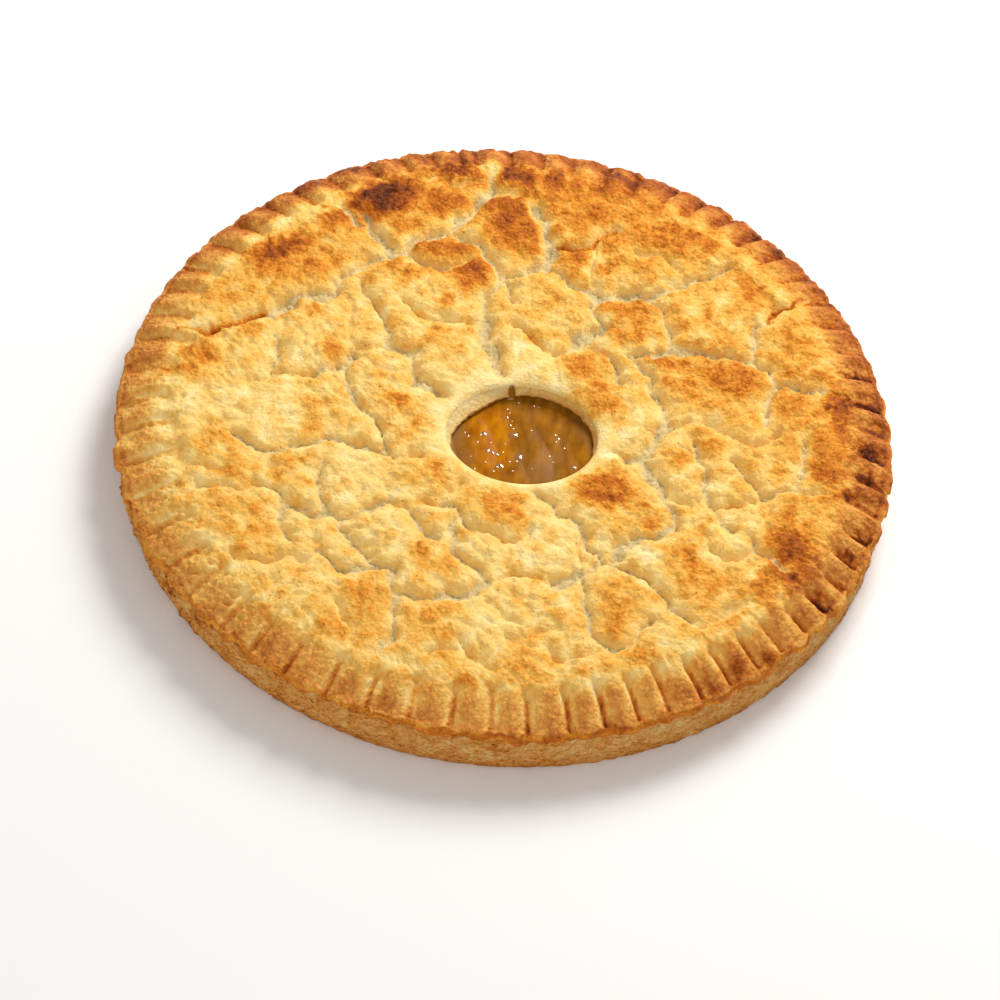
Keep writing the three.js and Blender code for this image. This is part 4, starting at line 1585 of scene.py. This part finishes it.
        # Painted shade: the front of the lip is darkened where the ribs step down to it, with a dark line
        # along the step.
        bake += self.lip_shade * front * smooth_between(*self.lip_shade_span, radius)
        bake += (self.lip_shade_line - self.lip_shade_line_front * front) * bell(radius, *self.lip_shade_line_place)
        pale = read_round(RIM_PALE, angle) * smooth_between(*self.pale_start, radius)
        pale *= 1.0 - smooth_between(*self.pale_end, radius)
        bake = bake + (self.pale_bake - bake) * pale
        outside = np.maximum(0.0, self.vent.outside(x, y))
        bake *= self.vent_bake + (1.0 - self.vent_bake) * smooth_between(0.0, self.vent_bake_reach, outside)
        bake = self.plateau.scorched(x, y, np.clip(bake, 0.0, 1.0), np.maximum(clear, on_rim))
        return np.clip(bake + self.blush * self.plateau.hills["blush"].at(x, y), 0.0, 1.0)

    def build(self) -> Piece:
        """Builds the lid's mesh from loops: over the top, round the lip, back below, up the vent.

        Returns:
            The lid.
        """
        skin = LoopSkin()
        self.add_plateau(skin)
        self.add_rim(skin)
        self.add_underside(skin)
        self.add_vent_wall(skin)
        return skin.to_object("pie_lid", closed=True)

    def add_plateau(self, skin: LoopSkin) -> None:
        """Adds the loops from the vent's edge to the rim, drawn to the cracks between both.

        Args:
            skin: The lid's skin so far.
        """
        rim_start = self.plateau.rim_start
        steps = round((rim_start - self.vent.half_depth) / self.spacing)
        loops = [self.vent.loop(step / steps, rim_start, self.spacing) for step in range(steps + 1)]
        ends = np.cumsum([len(x) for x, _ in loops])[:-1]
        x, y = (np.concatenate(column) for column in zip(*loops))
        share = smooth_between(1.0, 4.0, self.vent.outside(x, y))
        share *= 1.0 - smooth_between(rim_start - 5.0, rim_start - 1.0, np.hypot(x, y))
        x, y = self.plateau.drawn_to_cracks(x, y, share)
        height, marks = self.top(x, y)
        split_marks = {name: np.split(values, ends) for name, values in marks.items()}
        for index, points in enumerate(np.split(np.stack([x, y, height], axis=1), ends)):
            skin.add(points, **{name: values[index] for name, values in split_marks.items()})

    def add_rim(self, skin: LoopSkin) -> None:
        """Adds the loops over the crimped rim and down the torn lip.

        Args:
            skin: The lid's skin so far.
        """
        rim_start = self.plateau.rim_start
        even = even_angles(self.rim_points)
        crowded = self.crimps.crowded_angles(self.rim_points)
        for step in range(1, self.rim_loops + 1):
            angle = even + (crowded - even) * min(1.0, step / self.crowd_loops)
            angle = np.where(angle > math.pi, angle - FULL_TURN, angle)
            shelf = self.shelf(angle)
            radius = rim_start + (shelf - rim_start) * step / self.rim_loops
            x, y = radius * np.cos(angle), radius * np.sin(angle)
            height, marks = self.top(x, y)
            skin.add(np.stack([x, y, height], axis=1), **marks)
        length = Hills.length_round(angle, RIM_REPEATS)
        # Each strip of the hills that is read here lies apart from the others.
        tears, nicks = self.hills["tear"], self.hills["nick"]
        front = self.face_front * bell(angle, *self.lip_front)
        thick = 1.0 + self.thick_swing * tears.at(length, 60.0)
        for layer, (out, down) in enumerate(self.lip_face):
            ragged = self.nick * nicks.at(length, 11.0 + 2.0 * layer)
            toast = self.face_bake + self.face_swing * tears.at(length, 40.0 + 2.0 * layer)
            radius = np.minimum(shelf + out + ragged, self.radius)
            skin.add(ring(angle, radius, height - down * thick), bake=toast + front, split=0.0)

    def add_underside(self, skin: LoopSkin) -> None:
        """Adds the plain loops of the underside, from the lip in to the vent.

        Args:
            skin: The lid's skin so far.
        """
        angle = even_angles(self.under_points)
        section = (
            (self.seat_outer, self.seat + self.crimps.lip_lift(angle)),
            (self.seat_outer, self.seat),
            (self.seat_inner, self.seat),
            (self.ramp_end, self.underside),
        )
        for radius, height in section:
            skin.add(ring(angle, radius, height), bake=self.under_bake, split=0.0)
        x, y = self.vent.loop(self.under_share, self.plateau.rim_start, self.under_spacing)
        points = np.stack([x, y, np.full(x.shape, self.underside)], axis=1)
        skin.add(points, bake=self.inner_bake, split=0.0)

    def add_vent_wall(self, skin: LoopSkin) -> None:
        """Adds the loops up the vent's wall.

        Args:
            skin: The lid's skin so far.
        """
        vent, hills = self.vent, self.hills["wall"]
        x, y = vent.loop(0.0, self.plateau.rim_start, self.spacing)
        top, _ = self.top(x, y)
        angle = np.arctan2(y - vent.y, x - vent.x)
        length = Hills.length_round(angle, 1)
        shaded = np.clip(np.cos(angle - self.shade_angle), 0.0, 1.0)
        for step in range(self.wall_loops):
            share = step / self.wall_loops
            height = self.underside + (top - self.underside) * share
            strip = self.wall_stretch * height
            ripple = self.ripple * hills.at(length, strip) * (1.0 - share)
            grow = 1.0 - (vent.lean(angle, 1.0 - share) + ripple) / vent.half_depth
            loop = np.stack([vent.x + (x - vent.x) * grow, vent.y + (y - vent.y) * grow, height], axis=1)
            # Painted shade: the wall is browner and less pale on the side that lies in shade. It also
            # darkens towards its foot.
            stain_and_shade = self.wall_stain + self.stain_swing * hills.at(length, strip + self.stain_strip)
            stain_and_shade = stain_and_shade + self.foot_darkening * (1.0 - share) ** 4 + self.shade_darkening * shaded
            split = self.wall_split - self.shade_split * shaded
            skin.add(loop, bake=np.clip(stain_and_shade, 0.0, 1.0), split=split)

    def dress(self, piece: Piece) -> None:
        """Gives the lid its baked finish."""
        install(piece, LidPastry().material(), Slot.LID, "top_crust")


@dataclass
class PastryCase:
    """The bottom crust: a flat foot and a rough, layered wall below the lid's lip."""

    foot: float = 116.6
    foot_lean: float = 1.7
    lean_turn: float = 0.6
    belly: float = 119.0
    top: float = 117.4
    lip: float = 116.3
    height: float = 11.0
    inner: float = 104.0
    cavity: float = 101.0
    floor: float = 4.5
    # Crags: how rough the wall is, and what the crags, layers and pits give to it.
    roughness: float = 0.45
    foot_roughness: float = 0.25
    rough_rise: float = 3.0
    crag: float = 0.6
    crag_stretch: float = 0.7
    layer: float = 0.8
    layer_stretch: float = 0.4
    pit: float = 0.6
    pit_stretch: Span = (0.7, 1.4)
    # Browning, with painted shade towards the left and a painted contact shadow towards the foot.
    wall_bake: float = 0.36
    side_shade: float = 0.12
    toast_swing: float = 0.07
    crag_bake: float = 0.05
    foot_shadow: float = 0.24
    under_bake: float = 0.5
    inner_bake: float = 0.2
    # Mesh.
    points: int = 960
    rows: int = 22
    inside_step: int = 8
    under_share: float = 0.6

    @cached_property
    def hills(self) -> dict[str, Hills]:
        """Seeded hills for the wall's layers, crags and browning."""
        return Hills.several(71, layer=2.4, crag=6.0, pit=1.7, toast=12.0)

    def build(self) -> Piece:
        """Builds the case's mesh from loops: from the foot's middle up the wall and into the cup.

        Returns:
            The case.
        """
        skin = LoopSkin()
        angle = even_angles(self.points)
        length = Hills.length_round(angle, RIM_REPEATS)
        lift = Crimps.lip_lift(angle)
        along, up = self.pit_stretch
        side = np.cos(angle + self.lean_turn)
        foot = self.foot + self.foot_lean * side
        inside = angle[::self.inside_step]
        skin.add(np.zeros((1, 3)), bake=self.under_bake)
        skin.add(ring(inside, self.under_share * self.foot, 0.0), bake=self.under_bake)
        for row in range(self.rows + 1):
            share = row / self.rows
            height = (self.height + lift) * share
            crag = self.crag * self.hills["crag"].at(length, self.crag_stretch * height)
            crag += self.layer * self.hills["layer"].at(self.layer_stretch * length, height)
            crag += self.pit * self.hills["pit"].at(along * length, up * height)
            smooth = (1 - share) ** 2 * foot + 2 * share * (1 - share) * self.belly + share ** 2 * self.top
            rough = self.foot_roughness + (1.0 - self.foot_roughness) * min(1.0, self.rough_rise * share)
            radius = np.minimum(smooth + self.roughness * crag * rough, self.belly)
            # Painted shade: the wall is darker on its left, and a painted contact shadow darkens it towards
            # the foot.
            bake = self.wall_bake - self.side_shade * side + self.crag_bake * crag
            bake += self.toast_swing * self.hills["toast"].at(length, height)
            bake += self.foot_shadow * (1 - share) ** 3
            skin.add(ring(angle, radius, height), bake=np.clip(bake, 0.0, 1.0))
        section = (
            (self.lip, self.height + lift[::self.inside_step]), (self.lip, self.height),
            (self.inner, self.height), (self.cavity, self.floor),
        )
        for radius, height in section:
            skin.add(ring(inside, radius, height), bake=self.inner_bake)
        skin.add(np.array([[0.0, 0.0, self.floor]]), bake=self.inner_bake)
        return skin.to_object("pie_case", closed=False)

    def dress(self, piece: Piece) -> None:
        """Gives the case its baked finish."""
        install(piece, CasePastry().material(), Slot.CASE, "bottom_crust")


def blotches(areas: Sequence[Patch], x: Array, y: Array) -> Array:
    """Covers the fruit with soft areas.

    Args:
        areas: The areas.
        x: Places across the pie.
        y: Places along the pie.

    Returns:
        Strength of the strongest area at each place.
    """
    strength = np.zeros(np.shape(x))
    for area in areas:
        strength = np.maximum(strength, area.strength * np.exp(-(area.square_off(x, y) ** 2)))
    return strength


def fruit_marks(x: Array, y: Array) -> dict[str, Array]:
    """Ripeness and painted sheen of the fruit at each place."""
    return {"ripe": blotches(RIPE_AREAS, x, y), "film": blotches(PAINTED_SHEEN_AREAS, x, y)}


@dataclass
class Filling:
    """The syrup and fruit between case and lid, finely modelled where it shows in the vent."""

    vent: Vent
    level: float = 14.5
    under_lid: float = 15.3
    edge: float = 97.2
    inner: float = 103.7
    cavity: float = 100.7
    floor: float = 4.8
    top_of_case: float = 10.7
    climb: float = 0.8
    climb_reach: float = 0.9
    lump: float = 0.05
    lump_mm: float = 8.0
    seed: int = 91
    spacing: float = 0.55
    mean_radius: float = 21.0
    fewest_points: int = 8
    under_points: int = 144

    @cached_property
    def hills(self) -> Hills:
        """Seeded hills for the fruit's lumps."""
        return Hills(self.lump_mm, self.seed)

    def surface(self, x: Array, y: Array) -> Array:
        """Height of the wet surface, which climbs a little at the vent's wall."""
        climb = self.climb * np.exp(np.minimum(0.0, self.vent.outside(x, y)) / self.climb_reach)
        return np.minimum(self.level + climb + self.lump * self.hills.at(x, y), self.under_lid)

    def build(self) -> Piece:
        """Builds the filling's mesh from the vent's middle out, down and back below.

        Returns:
            The filling.
        """
        skin = LoopSkin()
        middle = np.array([[self.vent.x, self.vent.y, self.level]])
        skin.add(middle, **fruit_marks(middle[:, 0], middle[:, 1]))
        steps = round(self.vent.half_width / self.spacing)
        for step in range(1, steps + 2):
            share = step / steps
            count = round(FULL_TURN * self.mean_radius * share / self.spacing)
            angle = even_angles(max(self.fewest_points, count))
            x = self.vent.x + self.vent.half_width * share * np.cos(angle)
            y = self.vent.y + self.vent.half_depth * share * np.sin(angle)
            skin.add(np.stack([x, y, self.surface(x, y)], axis=1), **fruit_marks(x, y))
        angle = even_angles(self.under_points)
        section = ((self.edge, self.under_lid), (self.inner, self.top_of_case), (self.cavity, self.floor))
        for radius, height in section:
            skin.add(ring(angle, radius, height), ripe=0.0, film=0.0)
        skin.add(np.array([[0.0, 0.0, self.floor]]), ripe=0.0, film=0.0)
        return skin.to_object("fruit_filling", closed=False)

    def dress(self, piece: Piece) -> None:
        """Gives the filling its wet finish."""
        install(piece, WetFruit("peach_syrup_set").material(), Slot.FILLING, "filling")


@dataclass
class PeachSlice:
    """One cooked slice lying in the filling under the vent, bowed sideways."""

    node: str
    x: float
    y: float
    half_length: float
    half_width: float
    turn: float
    bow: float
    finish: Material
    middle: float = 11.0
    rise: float = 4.2
    flatness: float = 0.5
    lump: float = 0.06
    lump_drop: float = 0.1
    lump_mm: float = 9.0
    first_seed: int = 100
    around: int = 128
    down: int = 64

    @cached_property
    def hills(self) -> Hills:
        """Seeded hills for the slice's soft lumps, other ones for each slice."""
        return Hills(self.lump_mm, self.first_seed + len(self.node))

    def build(self) -> Piece:
        """Builds the slice's mesh from loops, from its top to its bottom.

        Returns:
            The slice.
        """
        skin = LoopSkin()
        angle = even_angles(self.around)
        cosine, sine = math.cos(math.radians(self.turn)), math.sin(math.radians(self.turn))
        for row in range(self.down + 1):
            polar = math.pi * row / self.down
            loop = angle[:1] if row in (0, self.down) else angle
            along = math.sin(polar) * np.cos(loop)
            across = math.sin(polar) * np.sin(loop)
            up = math.copysign(abs(math.cos(polar)) ** self.flatness, math.cos(polar))
            long_mm = along * self.half_length
            wide_mm = across * self.half_width + self.bow * (1.0 - along * along)
            swell = np.minimum(0.0, self.lump * self.hills.at(long_mm, wide_mm) - self.lump_drop)
            height = self.middle + up * self.rise + swell * max(0.0, up)
            x = self.x + long_mm * cosine - wide_mm * sine
            y = self.y + long_mm * sine + wide_mm * cosine
            skin.add(np.stack([x, y, height], axis=1), **fruit_marks(x, y))
        return skin.to_object(self.node.replace("peach_slice", "cooked_slice"), closed=False)

    def dress(self, piece: Piece) -> None:
        """Gives the slice its wet finish."""
        install(piece, self.finish, Slot.FLESH, self.node)


@dataclass
class SyrupDrops:
    """Flat drops of syrup that stand on the fruit and catch the light, and a run down the vent's wall."""

    vent: Vent
    fruit: Sequence[Piece]
    above: float = 20.0
    bulge: float = 0.17
    sunk: float = 0.02
    longest: float = 1.7
    seed: int = 131
    around: int = 12
    down: int = 5
    # The run, from its neck at the vent's edge to its flared foot.
    run_angle: float = math.radians(101.0)
    run_foot: float = 14.2
    run_top: float = 19.7
    run_width: float = 1.6
    run_neck: float = 0.7
    run_flare: float = 0.5
    run_depth: float = 0.6
    run_swell: float = 0.8
    run_proud: float = 0.1
    run_rows: int = 16

    def surface(self, x: float, y: float) -> float:
        """Finds how high the fruit stands at a place.

        Args:
            x: Place across the pie.
            y: Place along the pie.

        Returns:
            Height of the topmost fruit, in millimetres.
        """
        start = Vector((x, y, self.above)) * MM
        hits = (piece.ray_cast(start, Vector((0.0, 0.0, -1.0))) for piece in self.fruit)
        return max(place.z for found, place, _, _ in hits if found) / MM

    def drop(self, x: float, y: float, radius: float, draw: np.random.Generator) -> LoopSkin:
        """Shapes one drop as a flat dome, drawn out a little in some direction.

        Args:
            x: Its middle across the pie.
            y: Its middle along the pie.
            radius: Its mean radius.
            draw: Source of the random shape.

        Returns:
            The dome's skin.
        """
        skin = LoopSkin()
        angle = even_angles(self.around)
        level = self.surface(x, y) - self.sunk
        stretch = math.sqrt(draw.uniform(1.0, self.longest))
        turn = draw.uniform(0.0, math.pi)
        for row in range(self.down + 1):
            share = row / self.down
            loop = angle[:1] if row == 0 else angle
            long_mm = radius * share * stretch * np.cos(loop)
            wide_mm = radius * share / stretch * np.sin(loop)
            skin.add(np.stack([
                x + long_mm * math.cos(turn) - wide_mm * math.sin(turn),
                y + long_mm * math.sin(turn) + wide_mm * math.cos(turn),
                np.full(loop.shape, level + self.bulge * radius * (1.0 - share * share)),
            ], axis=1))
        return skin

    def run(self) -> LoopSkin:
        """Shapes the run as a long drop, widest at its foot, half sunk in the vent's wall.

        Returns:
            The run's skin.
        """
        skin = LoopSkin()
        angle = even_angles(self.around)
        out = np.array([math.cos(self.run_angle), math.sin(self.run_angle)])
        side = np.array([-out[1], out[0]])
        wall = np.array([self.vent.x, self.vent.y]) + out * (self.vent.half_width, self.vent.half_depth)
        for row in range(self.run_rows + 1):
            share = row / self.run_rows
            loop = angle[:1] if row in (0, self.run_rows) else angle
            round_off = math.sin(math.pi * min(share, 0.5)) ** 0.5
            width = self.run_width * (self.run_neck + self.run_flare * share ** 3) * round_off
            depth = self.run_depth * (1.0 + self.run_swell * share ** 3) * round_off
            inward = depth * np.sin(loop) + self.vent.lean(self.run_angle, share) + self.run_proud
            flat = wall + np.outer(width * np.cos(loop), side) - np.outer(inward, out)
            height = np.full(len(loop), self.run_top + (self.run_foot - self.run_top) * share)
            skin.add(np.column_stack([flat, height]))
        return skin

    def build(self) -> Piece:
        """Builds every drop and the run in one mesh.

        Returns:
            The drops.
        """
        bpy.context.view_layer.update()
        draw = np.random.default_rng(self.seed)
        skins = [self.drop(x, y, radius, draw) for x, y, radius in DROPS]
        skins.append(self.run())
        points = [np.concatenate(skin.loops) for skin in skins]
        starts = np.cumsum([0] + [len(part) for part in points])
        faces = [skin.triangles(closed=False) + start for skin, start in zip(skins, starts)]
        return new_piece("syrup_drops", np.concatenate(points), np.concatenate(faces))

    def dress(self, piece: Piece) -> None:
        """Gives the drops their glossy finish."""
        install(piece, SYRUP_BEAD.material(), Slot.FILLING)


@dataclass(frozen=True)
class SoftLight:
    """A square area light that faces the pie: its place and side in metres, and its power in watts."""

    name: str
    place: tuple[float, float, float]
    size: float
    power: float

    def hang(self) -> None:
        """Hangs the light."""
        data = bpy.data.lights.new(self.name, "AREA")
        data.size = self.size
        data.energy = self.power
        light = bpy.data.objects.new(self.name, data)
        light.location = self.place
        light.rotation_euler = Vector(self.place).to_track_quat("Z", "Y").to_euler()
        bpy.context.scene.collection.objects.link(light)


@dataclass
class Studio:
    """Plain white floor, soft light from above and behind, and the camera, with sizes in metres."""

    floor_half: float = 3.0
    floor_drop: float = 0.0002
    distance: float = 1.0
    elevation: float = math.radians(50.55)
    roll: float = math.radians(5.3)
    target: tuple[float, float, float] = (0.0007, -0.0302, 0.0145)
    lens_mm: float = 119.4
    sensor_mm: float = 36.0
    lights: tuple[SoftLight, ...] = (
        SoftLight("window_light", (0.32, 0.66, 0.7), 0.45, 10.5),
        SoftLight("front_bounce", (-0.3, -1.3, 0.6), 1.4, 6.0),
    )
    room: str = "#fbf9f6"
    room_strength: float = 0.5

    def build_floor(self) -> None:
        """Lays the floor."""
        half = self.floor_half
        mesh = bpy.data.meshes.new("studio_floor")
        corners = [(-half, -half, 0.0), (half, -half, 0.0), (half, half, 0.0), (-half, half, 0.0)]
        mesh.from_pydata(corners, [], [(0, 1, 2, 3)])
        floor = bpy.data.objects.new("studio_floor", mesh)
        floor.location.z = -self.floor_drop
        bpy.context.scene.collection.objects.link(floor)
        mesh.materials.append(WHITE_BOARD.material())

    def build_camera(self) -> None:
        """Puts the camera where the photograph was taken."""
        back = Vector((0.0, -math.cos(self.elevation), math.sin(self.elevation)))
        right = Vector((1.0, 0.0, 0.0))
        up = back.cross(right)
        rolled_right = right * math.cos(self.roll) + up * math.sin(self.roll)
        rolled_up = up * math.cos(self.roll) - right * math.sin(self.roll)
        data = bpy.data.cameras.new("photo_camera")
        data.lens = self.lens_mm
        data.sensor_width = self.sensor_mm
        camera = bpy.data.objects.new("photo_camera", data)
        place = Vector(self.target) + back * self.distance
        axes = Matrix((rolled_right, rolled_up, back)).transposed()
        camera.matrix_world = Matrix.Translation(place) @ axes.to_4x4()
        bpy.context.scene.collection.objects.link(camera)
        bpy.context.scene.camera = camera

    def build_lights(self) -> None:
        """Hangs the soft lights and sets the pale surroundings."""
        for light in self.lights:
            light.hang()
        world = bpy.data.worlds.new("pale_room")
        world.use_nodes = True
        background = world.node_tree.nodes["Background"]
        background.inputs["Color"].default_value = to_linear(self.room)
        background.inputs["Strength"].default_value = self.room_strength
        bpy.context.scene.world = world
        bpy.context.scene.view_settings.view_transform = "Standard"


def main() -> None:
    """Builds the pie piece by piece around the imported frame."""
    logging.basicConfig(level=logging.INFO, format="%(name)s %(message)s")
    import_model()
    studio = Studio()
    studio.build_camera()
    studio.build_floor()
    studio.build_lights()
    vent = Vent()
    flesh = WetFruit("peach_flesh_cooked").material()
    for crust in (Lid(vent, Plateau(), Crimps()), PastryCase()):
        crust.dress(crust.build())
    fruit = []
    for inside in (Filling(vent), *(PeachSlice(*row, finish=flesh) for row in SLICES)):
        fruit.append(inside.build())
        inside.dress(fruit[-1])
    drops = SyrupDrops(vent, fruit)
    drops.dress(drops.build())


if __name__ == "__main__":
    main()
